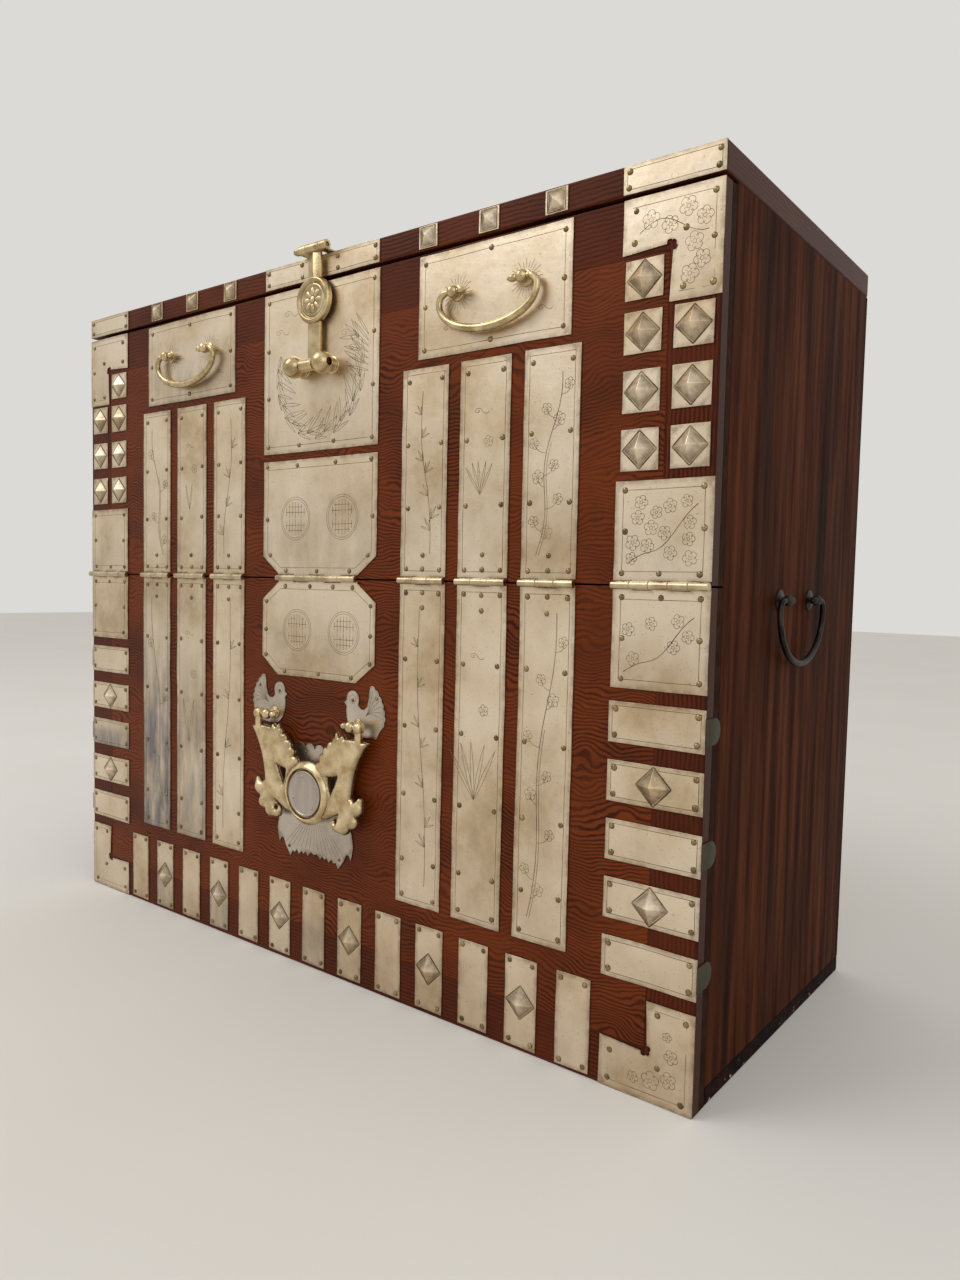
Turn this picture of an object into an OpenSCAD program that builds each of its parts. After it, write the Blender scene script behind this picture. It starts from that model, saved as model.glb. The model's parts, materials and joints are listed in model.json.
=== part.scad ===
// Half-opening bandaji chest: a boarded carcass whose front drops open on nine hinges,
// dressed with sheet-metal plates, a hasp, ball-post bails and a winged drop handle.
// X is to the right, Y to the back, Z up; the origin is the middle of the bottom face.

/* [Carcass] */
// Width across the front
chest_w = 900; // [880:5:940]
// Height from the floor to the top of the lid board
chest_h = 770; // [760:5:790]
// Depth from the face of the door to the back
chest_d = 380; // [340:5:440]
// Thickness of the lid board
lid_t = 24; // [22:1:28]
// Thickness of the side boards
side_t = 18; // [14:1:22]
// Thickness of the back boards
back_t = 14; // [10:1:18]
// Thickness of the bottom board
bottom_t = 16; // [12:1:20]

/* [Door and front] */
// Height of the hinge line, where the door meets the fixed front
hinge_z = 430; // [425:1:435]
// Width of the stiles and of the bottom rail
stile_w = 45; // [40:1:50]
// Height of the door's top rail
door_rail_h = 47; // [42:1:52]
// Thickness of the face frame and of the panel in it
face_t = 12; // [10:1:14]
// Thickness of the backing board behind the face frame
backing_t = 10; // [8:1:12]
// Shadow gap between the lid board and the top edge of the door
lid_gap = 4; // [3:1:6]

/* [Plates] */
// Thickness of the sheet metal
sheet_t = 1.2; // [0.8:0.1:1.6]
// Width of the plates at the four corners and of the corner hinges
corner_w = 87; // [80:1:90]
// Width of an arm of the corner plates
arm_w = 44; // [38:1:48]
// Width of the long strap plates
strap_w = 58; // [50:1:62]
// Distance between the middles of neighbouring strap plates
strap_pitch = 73; // [68:1:76]
// Width of the handle plates
handle_plate_w = 174; // [160:1:180]
// Width of the square lock plate and of the plate under it
lock_plate_w = 177; // [165:1:180]
// Side of the small square stud plates
stud_w = 34; // [30:1:36]
// Height of the pyramids on the stud plates
pyramid_h = 8; // [6:1:10]
// Width of the short plates in the bottom row and at the sides
band_w = 35; // [30:1:38]

/* [Hinges] */
// Radius of the hinge barrels
barrel_r = 3.5; // [3:0.1:4]
// Radius of the hinge pins
pin_r = 1.5; // [1.2:0.1:1.8]
// Radial play of every pin and pintle in its hole
pin_play = 0.05; // [0.03:0.01:0.08]

/* [Lock] */
// Radius of the hole for the padlock's bar
lock_bore_r = 4; // [3.5:0.1:4.5]
// Diameter of the ball heads of the lock posts
lock_ball_d = 23; // [21:0.5:24]
// Distance between the middles of the lock posts
lock_pitch = 44; // [44:0.5:46]
// Diameter of the medallion on the hasp
medallion_d = 49; // [44:1:52]

/* [Handles] */
// Distance between the ball posts of a front bail
bail_pitch = 78; // [74:1:82]
// Outer width of a front bail
bail_w = 119; // [115:1:124]
// Outer drop of a front bail below its pivot
bail_drop = 42; // [40:1:50]
// Radius of a front bail at its lowest point
bail_r = 4.2; // [3.5:0.1:4.5]
// Distance between the posts of a side bail
side_bail_pitch = 80; // [76:1:86]
// Outer width of a side bail
side_bail_w = 124; // [118:1:130]
// Outer drop of a side bail below its pivot
side_bail_drop = 62; // [55:1:70]
// Radius of a side bail at its lowest point
side_bail_r = 3.2; // [2.8:0.1:3.6]

/* [Hidden] */
$fn = 64;
edge_x = chest_w / 2;
front_y = -chest_d / 2;
sheet_y = front_y - sheet_t;
door_play = 0.5;
carcass_y = front_y + face_t + backing_t + door_play;
lid_z = chest_h - lid_t;
door_top = lid_z - lid_gap;
seam = 0.75;
panel_x = edge_x - stile_w;

// The hinge axis stands proud so that the barrels clear the wood
hinge_proud = barrel_r + 0.3;
axis_y = front_y - hinge_proud;
leaf_gap = barrel_r + 0.5;
tongue_lap = 0.8;
knuckle_play = 0.4;

// Places of the plates, as distances from the centreline and heights above the floor
strap_mid = chest_w * 0.249;
strap_xs = [strap_mid - strap_pitch, strap_mid, strap_mid + strap_pitch];
strap_top = door_top - 107;
strap_foot = 106;
handle_plate_h = 97;
handle_plate_z = door_top - 2 - handle_plate_h / 2;
handle_x = strap_mid + 4;
lock_plate_h = 174;
lock_plate_z = door_top - 1 - lock_plate_h / 2;
centre_top = door_top - 1 - lock_plate_h - 8;
centre_low_h = 104;
centre_chamfer = [27, 20];
square_h = 82;
square_low = hinge_z - 4 - square_h;
foot_low = 1;
foot_top = 86;
stud_xs = [edge_x - 66.5, edge_x - 22];
stud_first_z = door_top - 65;
stud_second_z = door_top - 107;
stud_pitch = 47;
band_gap = 11.5;
band_count = 5;
band_first_z = square_low - band_gap - band_w / 2;
band_last_z = foot_top + band_gap + band_w / 2;
band_pitch = (band_first_z - band_last_z) / (band_count - 1);
tab_l = 25;
tab_h = 22;
row_count = 13;
row_pitch = (chest_w - 2 * corner_w) / row_count;
row_low = 4;
row_h = 84;
centre_hinge_w = lock_plate_w - 2 * centre_chamfer[0];
lid_corner_w = 88;
lid_centre_w = 174;
lid_plate_h = lid_t - 0.6;
lid_mid_z = lid_z + lid_t / 2;
lid_stud = [23, 21];
lid_pyramid = [12, 6];
stud_pyramid_r = 14.5;
first_stud_h = 32;
band_l = 88;
band_pyramid_r = 15.5;
row_pyramid_r = 15;

// How far a part that is fused to another one bites into it
bite = 0.01;

// Places of the lock, in front of the face and above the floor
lock_z = door_top - 89;
lock_proud = 16;
lock_y = front_y - lock_proud;
hasp_axis = [front_y - 9, chest_h + 5];
hasp_barrel_r = 5;
hasp_barrel_w = 40;
hasp_pin_r = 2.5;
hasp_side_play = 0.3;
hasp_leaf_l = 42;
hasp_leaf_t = 1.6;
strap_bar_w = 18.5;
strap_bar_back = 3.5;
strap_bar_t = 5;
medallion_z = chest_h - 48.5;
hasp_eye_r = 6.5;
hasp_eye_w = 19;

// Places of the front bails and of the side bails
bail_z = door_top - 44;
bail_proud = 8.5;
bail_ball_r = 6;
bail_bend_r = 9.5;
side_bail_z = 419;
side_bail_proud = 8;
side_ball_r = 5;
side_bend_r = 9;
washer_r = 10;
washer_t = 1.2;
post_flange_t = 1.5;

// Turned posts as radius of the neck and radius of the foot
lock_post = [7, 9.5];
bail_post = [4, 7.5];
side_post = [3.2, 6];
drop_post = [4, 7];

// The ends of the bails, and how far their buds stay from the balls of the posts
bail_end_r = 3;
side_bail_end_r = 2.6;
bud_gap = 3.4;

// The winged drop handle, its plates and its posts
drop_axis_z = hinge_z - 152;
drop_axis_y = front_y - 13;
drop_post_x = 66;
drop_t = 6;
ring_z = hinge_z - 232;
ring_r = 27.5;
ring_web_t = 2.5;
disc_r = 24.6;
disc_t = 4.4;
pintle_r = 2.4;
cheek_x = 79;
cheek_r = 6;
cheek_t = 9;
cheek_neck_h = 16;
drop_bud_x = 56.5;
// Lobes of a scroll from its hooked tip inwards, as x and height about the ring, and radius
scroll_tip = [80.5, 4, 3.6];
scroll_lobes = [[76.5, -4, 8.5], [70.5, -19.5, 7.5], [57, -26, 9.5], [49, -26, 8.5]];
scroll_eye = [47.4, -22, 2.8];
// Shares of a lobe's radius: of the ball that swells from it, and how deep its middle lies
lobe_swell = 0.9;
lobe_sink = 0.72;
bird_x = 75;
bird_z = hinge_z - 137;

// Helpers

// A board between two corners
module board(low, high) {
    translate(low) cube(high - low);
}

// The same thing on the other side of the chest
module flipped(left) {
    if (left) mirror([1, 0, 0]) children();
    else children();
}

// Sheet metal that lies on the front face; its outline is drawn as x and height
module sheet() {
    translate([0, front_y, 0]) rotate([90, 0, 0]) linear_extrude(sheet_t) children();
}

// A rectangle with its middle at x and height z
module rect(x, z, w, h) {
    translate([x - w / 2, z - h / 2]) square([w, h]);
}

// A thing that stands out of a front surface: its own +Z points to the front
module standing(x, y, z) {
    translate([x, y, z]) rotate([90, 0, 0]) children();
}

// A rod along X through a point
module rod_x(x, y, z, length, r) {
    translate([x - length / 2, y, z]) rotate([0, 90, 0]) cylinder(h = length, r = r);
}

// A four-sided pyramid on the sheet, with its corners up, down and to the sides
module pyramid(x, z, reach, height, turn = 0) {
    standing(x, sheet_y + bite, z) rotate(turn) cylinder(h = height, r1 = reach, r2 = 0, $fn = 4);
}

// Carcass

module lid_board() {
    color("#4a2216") board([-edge_x, front_y, lid_z], [edge_x, -front_y, chest_h]);
}

module side_board(left) {
    color("#5a2a1a") flipped(left)
        board([edge_x - side_t, carcass_y, bottom_t], [edge_x, -front_y, lid_z]);
}

module back_boards() {
    color("#4f2718")
        board([side_t - edge_x, -front_y - back_t, bottom_t], [edge_x - side_t, -front_y, lid_z]);
}

module bottom_board() {
    color("#3a1d13") board([-edge_x, carcass_y, 0], [edge_x, -front_y, bottom_t]);
}

// Fixed lower front

module front_backing() {
    color("#4f2718")
        board([-edge_x, front_y + face_t, 0], [edge_x, carcass_y, hinge_z - seam]);
}

module front_stile(left) {
    color("#6b3019") flipped(left)
        board([panel_x, front_y, 0], [edge_x, front_y + face_t, hinge_z - seam]);
}

module front_bottom_rail() {
    color("#6b3019") board([-panel_x, front_y, 0], [panel_x, front_y + face_t, stile_w]);
}

module front_panel() {
    color("#7a3a1d")
        board([-panel_x, front_y, stile_w], [panel_x, front_y + face_t, hinge_z - seam]);
}

// Drop door

module door_backing() {
    color("#4f2718") board([-edge_x, front_y + face_t, hinge_z + seam],
        [edge_x, front_y + face_t + backing_t, door_top]);
}

module door_stile(left) {
    color("#6b3019") flipped(left)
        board([panel_x, front_y, hinge_z + seam], [edge_x, front_y + face_t, door_top]);
}

module door_top_rail() {
    color("#6b3019")
        board([-panel_x, front_y, door_top - door_rail_h], [panel_x, front_y + face_t, door_top]);
}

module door_panel() {
    color("#7a3a1d") board([-panel_x, front_y, hinge_z + seam],
        [panel_x, front_y + face_t, door_top - door_rail_h]);
}

// Hinges

// The knuckles of one leaf, every other one from the first, each with its tongue of sheet;
// the leaf lies above the hinge line where side is 1 and below it where side is -1
module knuckles(x, w, count, first, side) {
    pitch = w / count;
    length = pitch - knuckle_play;
    for (i = [first:2:count - 1]) {
        mid = x - w / 2 + (i + 0.5) * pitch;
        difference() {
            union() {
                rod_x(mid, axis_y, hinge_z, length, barrel_r);
                sheet() rect(mid, hinge_z + side * (tongue_lap + leaf_gap) / 2, length,
                    leaf_gap - tongue_lap + 2 * bite);
            }
            rod_x(mid, axis_y, hinge_z, length + 1, pin_r + pin_play);
        }
    }
}

// Hinges as x of the middle, width and number of knuckles
hinges = concat(
    [for (s = [-1, 1]) [s * (edge_x - corner_w / 2), corner_w, 5]],
    [for (s = [-1, 1], x = strap_xs) [s * x, strap_w, 3]],
    [[0, centre_hinge_w, 5]]);

module door_knuckles(x, w, count) {
    knuckles(x, w, count, 1, 1);
}

module front_knuckles(x, w, count) {
    knuckles(x, w, count, 0, -1);
}

module hinge_pins() {
    color("#8c7a55") for (h = hinges) rod_x(h[0], axis_y, hinge_z, h[1] - knuckle_play, pin_r);
}

// Lid plates

module lid_corner_plate(left) {
    color("#cdbf9f") flipped(left)
        sheet() rect(edge_x - lid_corner_w / 2, lid_mid_z, lid_corner_w, lid_plate_h);
}

module lid_centre_plate() {
    color("#cdbf9f") sheet() rect(0, lid_mid_z, lid_centre_w, lid_plate_h);
}

module lid_stud_plates() {
    color("#cdbf9f") for (s = [-1, 1], x = strap_xs) {
        sheet() rect(s * x, lid_mid_z, lid_stud[0], lid_stud[1]);
        pyramid(s * x, lid_mid_z, lid_pyramid[0], lid_pyramid[1], 45);
    }
}

// Hasp

module hasp_bracket() {
    gap_x = hasp_eye_w / 2 + hasp_side_play;
    knuckle_w = hasp_barrel_w / 2 - gap_x;
    knuckle_x = gap_x + knuckle_w / 2;
    color("#b9a06a") difference() {
        union() {
            // The leaf on the lid, with its front cut back between the knuckles
            difference() {
                board([-hasp_barrel_w / 2, hasp_axis[0], chest_h],
                    [hasp_barrel_w / 2, front_y + hasp_leaf_l, chest_h + hasp_leaf_t]);
                board([-gap_x, hasp_axis[0] - 1, chest_h - 1],
                    [gap_x, front_y + 3, chest_h + hasp_leaf_t + 1]);
            }
            for (s = [-1, 1])
                rod_x(s * knuckle_x, hasp_axis[0], hasp_axis[1], knuckle_w, hasp_barrel_r);
        }
        rod_x(0, hasp_axis[0], hasp_axis[1], hasp_barrel_w + 1, hasp_pin_r + pin_play);
    }
}

// The pin stops short of the barrel's right end and ends in a turned finial on its left
module hasp_pin() {
    recess = 4;
    collar_r = 4.6;
    left_end = -hasp_barrel_w / 2 - hasp_side_play;
    color("#b9a06a") {
        translate([left_end, hasp_axis[0], hasp_axis[1]]) rotate([0, 90, 0])
            cylinder(h = hasp_barrel_w - recess, r = hasp_pin_r);
        translate([left_end, hasp_axis[0], hasp_axis[1]]) rotate([0, -90, 0])
            rotate_extrude() polygon([[0, 0], [collar_r, 0], [collar_r, 1.6], [3.4, 2.2],
                [4, 3.6], [4, 5], [3.1, 8.2], [1.8, 10], [0, 10.4]]);
    }
}

// Strap with a ridged face, a raised round medallion and an eye for the padlock's bar
module hasp_strap() {
    back_y = hasp_axis[0] + strap_bar_back;
    low_z = lock_z + 3;
    ridge = [[-strap_bar_w / 2, 0], [strap_bar_w / 2, 0], [strap_bar_w / 2, strap_bar_t - 2],
        [0, strap_bar_t], [-strap_bar_w / 2, strap_bar_t - 2]];
    rim_r = medallion_d / 2;
    color("#b9a06a") difference() {
        union() {
            rod_x(0, hasp_axis[0], hasp_axis[1], hasp_eye_w, hasp_barrel_r);
            translate([0, back_y, low_z]) mirror([0, 1, 0])
                linear_extrude(hasp_axis[1] - low_z) polygon(ridge);
            standing(0, back_y + 0.5, medallion_z) rotate_extrude()
                polygon([[0, 0], [rim_r - 1, 0], [rim_r, 1], [rim_r, 5], [rim_r - 2, 7.5],
                    [rim_r - 4.5, 7.5], [rim_r - 6, 5.6], [rim_r - 7.5, 5.6],
                    [rim_r - 8, 6.2], [0, 6.2]]);
            rod_x(0, lock_y, lock_z, hasp_eye_w, hasp_eye_r);
        }
        rod_x(0, hasp_axis[0], hasp_axis[1], hasp_eye_w + 1, hasp_pin_r + pin_play);
        rod_x(0, lock_y, lock_z, hasp_eye_w + 1, lock_bore_r);
    }
}

// Door plates

// Three round cuts at the inner corner of a corner plate, open to the notch between its arms
module trefoil() {
    circle(2.4);
    for (a = [-15, 45, 105]) translate(3.4 * [cos(a), sin(a)]) circle(2.6);
}

// Corner plate with its outer corner at the origin and its arms towards -X and down
module corner_outline(height) {
    difference() {
        translate([-corner_w, -height]) square([corner_w, height]);
        translate([-corner_w - 1, -height - 1])
            square([corner_w - arm_w + 1, height - arm_w + 1]);
        translate([-arm_w, -arm_w]) trefoil();
    }
}

module door_corner_plate(left) {
    color("#cdbf9f") flipped(left) sheet() translate([edge_x, door_top]) corner_outline(corner_w);
}

module door_stud_plates(left) {
    outer = [for (i = [0:2]) [stud_xs[1], stud_second_z - i * stud_pitch]];
    inner = [for (i = [0:2]) [stud_xs[0], stud_second_z - i * stud_pitch]];
    color("#cdbf9f") flipped(left)
        for (p = concat([[stud_xs[0], stud_first_z]], inner, outer)) {
            sheet() rect(p[0], p[1], stud_w, p[1] == stud_first_z ? first_stud_h : stud_w);
            pyramid(p[0], p[1], stud_pyramid_r, pyramid_h);
        }
}

module door_hinge_square(left) {
    x = edge_x - corner_w / 2;
    color("#cdbf9f") flipped(left) {
        sheet() rect(x, hinge_z + leaf_gap + square_h / 2, corner_w, square_h);
        door_knuckles(x, corner_w, 5);
    }
}

module handle_plate(left) {
    color("#cdbf9f") flipped(left)
        sheet() rect(handle_x, handle_plate_z, handle_plate_w, handle_plate_h);
}

module lock_plate() {
    color("#cdbf9f") sheet() rect(0, lock_plate_z, lock_plate_w, lock_plate_h);
}

// Rectangle from low to high with its corners cut on the sides given
module chamfered(w, low, high, cut_low, cut_high) {
    c = centre_chamfer;
    x = w / 2;
    polygon(concat(
        cut_low ? [[-x, low + c[1]], [c[0] - x, low], [x - c[0], low], [x, low + c[1]]]
            : [[-x, low], [x, low]],
        cut_high ? [[x, high - c[1]], [x - c[0], high], [c[0] - x, high], [-x, high - c[1]]]
            : [[x, high], [-x, high]]));
}

module door_centre_leaf() {
    color("#cdbf9f") {
        sheet() chamfered(lock_plate_w, hinge_z + leaf_gap, centre_top, true, false);
        door_knuckles(0, centre_hinge_w, 5);
    }
}

module door_straps(left) {
    color("#cdbf9f") flipped(left) for (x = strap_xs) {
        sheet() rect(x, (hinge_z + leaf_gap + strap_top) / 2, strap_w,
            strap_top - hinge_z - leaf_gap);
        door_knuckles(x, strap_w, 3);
    }
}

// Posts and bails

// Turned post with a ball head that is bored along X; it stands on its own XY plane, and
// its neck flares into a flat foot
module ball_post(ball_r, radii, reach, bore_r) {
    neck_r = radii[0];
    foot_r = radii[1];
    flare = 1.1;
    difference() {
        union() {
            rotate_extrude() polygon([[0, 0], [foot_r, 0], [foot_r, post_flange_t - 0.6],
                [foot_r - 0.6, post_flange_t], [neck_r + flare, post_flange_t],
                [neck_r + flare / 3, post_flange_t + 0.6], [neck_r, post_flange_t + flare],
                [neck_r, reach], [0, reach]]);
            translate([0, 0, reach]) sphere(ball_r);
        }
        translate([0, 0, reach]) rotate([0, 90, 0])
            cylinder(h = 3 * ball_r, r = bore_r, center = true);
    }
}

module lock_posts() {
    color("#b9a06a") for (s = [-1, 1])
        standing(s * lock_pitch / 2, sheet_y, lock_z)
            ball_post(lock_ball_d / 2, lock_post, lock_proud - sheet_t, lock_bore_r);
}

module bail_posts(left) {
    color("#b9a06a") flipped(left) for (s = [-1, 1])
        standing(handle_x + s * bail_pitch / 2, sheet_y, bail_z)
            ball_post(bail_ball_r, bail_post, bail_proud - sheet_t, pintle_r + pin_play);
}

// Middle line of a bail in its own plane, from the right post round to the left one:
// a quarter bend out of the post, half an ellipse, and the other bend
function bail_line(half_w, bend, drop) = concat(
    [for (a = [90:-22.5:22.5]) [half_w - bend + bend * cos(a), bend * sin(a) - bend]],
    [for (t = [0:10:180]) [half_w * cos(t), -bend - drop * sin(t)]],
    [for (a = [22.5:22.5:90]) [bend - half_w - bend * cos(a), bend * sin(a) - bend]]);

// A round rod along a line in the XZ plane, with its own radius at each point
module swept_rod(line, radii, sides) {
    last = len(line) - 1;
    rings = [for (i = [0:last])
        let (step = line[min(i + 1, last)] - line[max(i - 1, 0)], t = step / norm(step))
            for (k = [0:sides - 1])
                let (a = 360 * k / sides)
                    [line[i][0] - radii[i] * cos(a) * t[1], radii[i] * sin(a),
                        line[i][1] + radii[i] * cos(a) * t[0]]];
    walls = [for (i = [0:last - 1], k = [0:sides - 1])
        let (a = i * sides + k, b = i * sides + (k + 1) % sides)
            each [[a, b, b + sides], [a, b + sides, a + sides]]];
    polyhedron(rings, concat(walls, [[for (k = [sides - 1:-1:0]) k],
        [for (k = [0:sides - 1]) last * sides + k]]));
}

// Bail that hangs in the XZ plane from pintles on the X axis, thickest at its lowest point,
// with a bud on the inner end of each pintle
module bail(w, drop, pitch, r_mid, r_end, bend, post_r) {
    half_w = w / 2 - r_mid;
    line = bail_line(half_w, bend, drop - bend - r_mid);
    radii = [for (p = line) r_end + (r_mid - r_end) * max(0, 1 - pow(p[0] / half_w, 2))];
    bud_x = pitch / 2 - post_r - bud_gap;
    swept_rod(line, radii, 12);
    for (s = [-1, 1]) {
        rod_x(s * (half_w - bend + 2 + bud_x) / 2, 0, 0, half_w - bend + 2 - bud_x, pintle_r);
        translate([s * bud_x, 0, 0]) rotate([0, -90 * s, 0]) rotate_extrude()
            polygon([[0, -2.6], [2.6, -2.4], [3.4, -0.8], [3.5, 1], [2.8, 3.2], [1.4, 5.6], [0, 7]]);
    }
}

module front_bail(left) {
    color("#b9a06a") flipped(left) translate([handle_x, front_y - bail_proud, bail_z])
        bail(bail_w, bail_drop, bail_pitch, bail_r, bail_end_r, bail_bend_r, bail_ball_r);
}

// Ball posts on round iron washers, on the side boards
module side_handle_posts(left) {
    color("#2d2926") flipped(left) for (s = [-1, 1])
        translate([edge_x, s * side_bail_pitch / 2, side_bail_z]) rotate([0, 90, 0]) {
            cylinder(h = washer_t, r = washer_r);
            rotate(90) ball_post(side_ball_r, side_post, side_bail_proud, pintle_r + pin_play);
        }
}

module side_bail(left) {
    color("#2d2926") flipped(left)
        translate([edge_x + side_bail_proud, 0, side_bail_z]) rotate([0, 0, 90])
            bail(side_bail_w, side_bail_drop, side_bail_pitch, side_bail_r, side_bail_end_r,
                side_bend_r, side_ball_r);
}

// Front plates below the hinge line

module front_hinge_square(left) {
    x = edge_x - corner_w / 2;
    color("#cdbf9f") flipped(left) {
        sheet() rect(x, hinge_z - leaf_gap - square_h / 2, corner_w, square_h);
        front_knuckles(x, corner_w, 5);
    }
}

module front_centre_leaf() {
    top = hinge_z - leaf_gap;
    color("#cdbf9f") {
        sheet() chamfered(lock_plate_w, top - centre_low_h, top, true, true);
        front_knuckles(0, centre_hinge_w, 5);
    }
}

module front_straps(left) {
    color("#cdbf9f") flipped(left) for (x = strap_xs) {
        sheet() rect(x, (hinge_z - leaf_gap + strap_foot) / 2, strap_w,
            hinge_z - leaf_gap - strap_foot);
        front_knuckles(x, strap_w, 3);
    }
}

// Five plates one above the other; every other one turns the corner in a round tab, and
// the two between them carry a pyramid
module side_bands(left) {
    color("#cdbf9f") flipped(left) for (i = [0:band_count - 1]) {
        z = band_first_z - i * band_pitch;
        sheet() rect(edge_x - band_l / 2, z, band_l, band_w);
        if (i % 2 == 1) pyramid(edge_x - band_l / 2, z, band_pyramid_r, pyramid_h);
        else {
            board([edge_x, sheet_y, z - tab_h / 2],
                [edge_x + sheet_t, front_y + tab_l - tab_h / 2, z + tab_h / 2]);
            translate([edge_x, front_y + tab_l - tab_h / 2, z]) rotate([0, 90, 0])
                cylinder(h = sheet_t, r = tab_h / 2);
            board([edge_x - 1, sheet_y, z - tab_h / 2], [edge_x + sheet_t, front_y, z + tab_h / 2]);
        }
    }
}

module foot_plate(left) {
    color("#cdbf9f") flipped(left) sheet()
        translate([edge_x, foot_low]) mirror([0, 1]) corner_outline(foot_top - foot_low);
}

module bottom_row_plates() {
    color("#cdbf9f") for (i = [0:row_count - 1]) {
        x = (i - (row_count - 1) / 2) * row_pitch;
        sheet() rect(x, row_low + row_h / 2, band_w, row_h);
        if (i % 2 == 1) pyramid(x, row_low + row_h / 2, row_pyramid_r, pyramid_h);
    }
}

// Winged drop handle with its backplates

// A bird with its head towards the centreline, its tail fanned up and out
module bird_outline() {
    head = [-17, 12];
    translate(head) circle(9.5);
    polygon([head + [-8, 5], head + [-12.5, -4], head + [-8, -5]]);
    polygon([[-25, 10], [-26, -4], [-24, -16], [-16, -25], [-3, -27], [13, -27], [23, -8], [26, 8],
        [14, 26], [8, 28], [6, 12], [2, 3], [-4, 0], [-8, 6]]);
    // Feather tips along the outer edge of the tail
    for (i = [0:4]) translate([14, -22] + i * [3.2, 7.8]) circle(4.2);
    for (i = [0:2]) translate([25, 13] + i * [-5.4, 5.4]) circle(3.8);
}

module bird_plate(left) {
    color("#cdbf9f") flipped(left) sheet() translate([bird_x, bird_z]) bird_outline();
}

// Leaf-shaped sheet under the handle
module leaf_backplate() {
    half = [[0, 8], [30, 44], [42, 17], [45, -8], [58, -38], [60.5, -50], [57, -66], [50, -61],
        [38, -79], [31, -74], [24, -76], [17, -73], [10, -75], [0, -71]];
    color("#cdbf9f") sheet() translate([0, ring_z]) {
        for (m = [0, 1]) mirror([m, 0]) polygon(half);
        for (x = [-22.5:15:22.5]) translate([x, 44]) circle(8.5);
        translate([0, 8]) rect(0, 16, 60, 40);
    }
}

module drop_handle_posts() {
    color("#b9a06a") for (s = [-1, 1])
        standing(s * drop_post_x, sheet_y, drop_axis_z)
            ball_post(bail_ball_r, drop_post, sheet_y - drop_axis_y, pintle_r + pin_play);
}

// Point at t on a curve from a past b to c
function curve(a, b, c, t) = (1 - t) * (1 - t) * a + 2 * t * (1 - t) * b + t * t * c;

// Points after a on a scallop to b, which bulges to the left of the way
function scallop(a, b, bulge) = [for (t = [0.2:0.2:1])
    curve(a, (a + b) / 2 + 2 * bulge * [a[1] - b[1], b[0] - a[0]], b, t)];

// Right wing of the handle, drawn about the middle of its ring: five feathers and two ears
// on its inner edge, a hollow outer edge, a scroll of four lobes and a pierced drop
module wing_outline() {
    feathers = [[14, 29], [20.5, 38], [25, 47.5], [32, 55], [39.5, 61], [43.5, 66.5]];
    ears = [[46, 72.5], [50, 67], [55.5, 70.5], [58.5, 66.5]];
    outer_top = [92, 65];
    hollow = [73, 6.5, 3.6];
    below = [[73, -1], [75, -12], [70, -20], [58, -24], [50, -15], [34, -22.5], [22, -29.5],
        [8, -30]];
    difference() {
        union() {
            polygon(concat(
                [[8, 18], feathers[0]],
                [for (i = [1:len(feathers) - 1]) each scallop(feathers[i - 1], feathers[i], 0.25)],
                ears, [[73, 67.5]],
                [for (t = [0:0.1:1]) curve(outer_top, [70, 40], [68, 5], t)],
                below));
            for (b = concat([scroll_tip], scroll_lobes)) translate([b[0], b[1]]) circle(b[2]);
        }
        translate([hollow[0], hollow[1]]) circle(hollow[2]);
        polygon(concat(
            [for (t = [0:0.1:1]) curve([33, 22], [33.5, 12], [37.5, 4.5], t)],
            [for (t = [0.1:0.1:1]) curve([37.5, 4.5], [44, 14], [48, 25], t)]));
    }
}

// The casting of the handle: two wings, and a flared ring with a web that carries the disc
module drop_handle() {
    flare = [[0, 0], [34.2, 0], [34.8, 1], [34.2, 2.4], [32.6, 4.1], [30.9, 6.1], [29.6, 7.1],
        [28.6, 7.5], [ring_r, 7.1], [ring_r - 1, 6.6], [0, 6.6]];
    bud = [[0, -2.2], [2.6, -2], [3.2, 0], [2.6, 2.4], [0, 5.5]];
    color("#b9a06a") {
        standing(0, drop_axis_y, ring_z) translate([0, 0, -drop_t / 2]) difference() {
            union() {
                linear_extrude(drop_t) for (m = [0, 1]) mirror([m, 0]) wing_outline();
                // The lobes of the scrolls swell out of the flat of the wings
                for (m = [0, 1], b = scroll_lobes) mirror([m, 0, 0])
                    translate([b[0], b[1], drop_t - b[2] * lobe_sink]) sphere(b[2] * lobe_swell);
                rotate_extrude() polygon(flare);
            }
            translate([0, 0, ring_web_t]) cylinder(h = 2 * drop_t, r = ring_r);
            for (m = [0, 1]) mirror([m, 0, 0]) translate([scroll_eye[0], scroll_eye[1], 0])
                cylinder(h = 4 * drop_t, r = scroll_eye[2], center = true);
            // The back of the handle is flat
            translate([0, 0, -2 * drop_t]) cylinder(h = 2 * drop_t, r = 2 * cheek_x);
        }
        for (s = [-1, 1]) {
            // Cheek outside the ball post, and the pintle that it carries through the post
            rod_x(s * cheek_x, drop_axis_y, drop_axis_z, cheek_t, cheek_r);
            board([s * cheek_x - cheek_t / 2, drop_axis_y - drop_t / 2, drop_axis_z - cheek_neck_h],
                [s * cheek_x + cheek_t / 2, drop_axis_y + drop_t / 2, drop_axis_z]);
            rod_x(s * (cheek_x + drop_bud_x) / 2, drop_axis_y, drop_axis_z, cheek_x - drop_bud_x,
                pintle_r);
            translate([s * drop_bud_x, drop_axis_y, drop_axis_z]) rotate([0, -90 * s, 0])
                rotate_extrude() polygon(bud);
        }
    }
}

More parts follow.
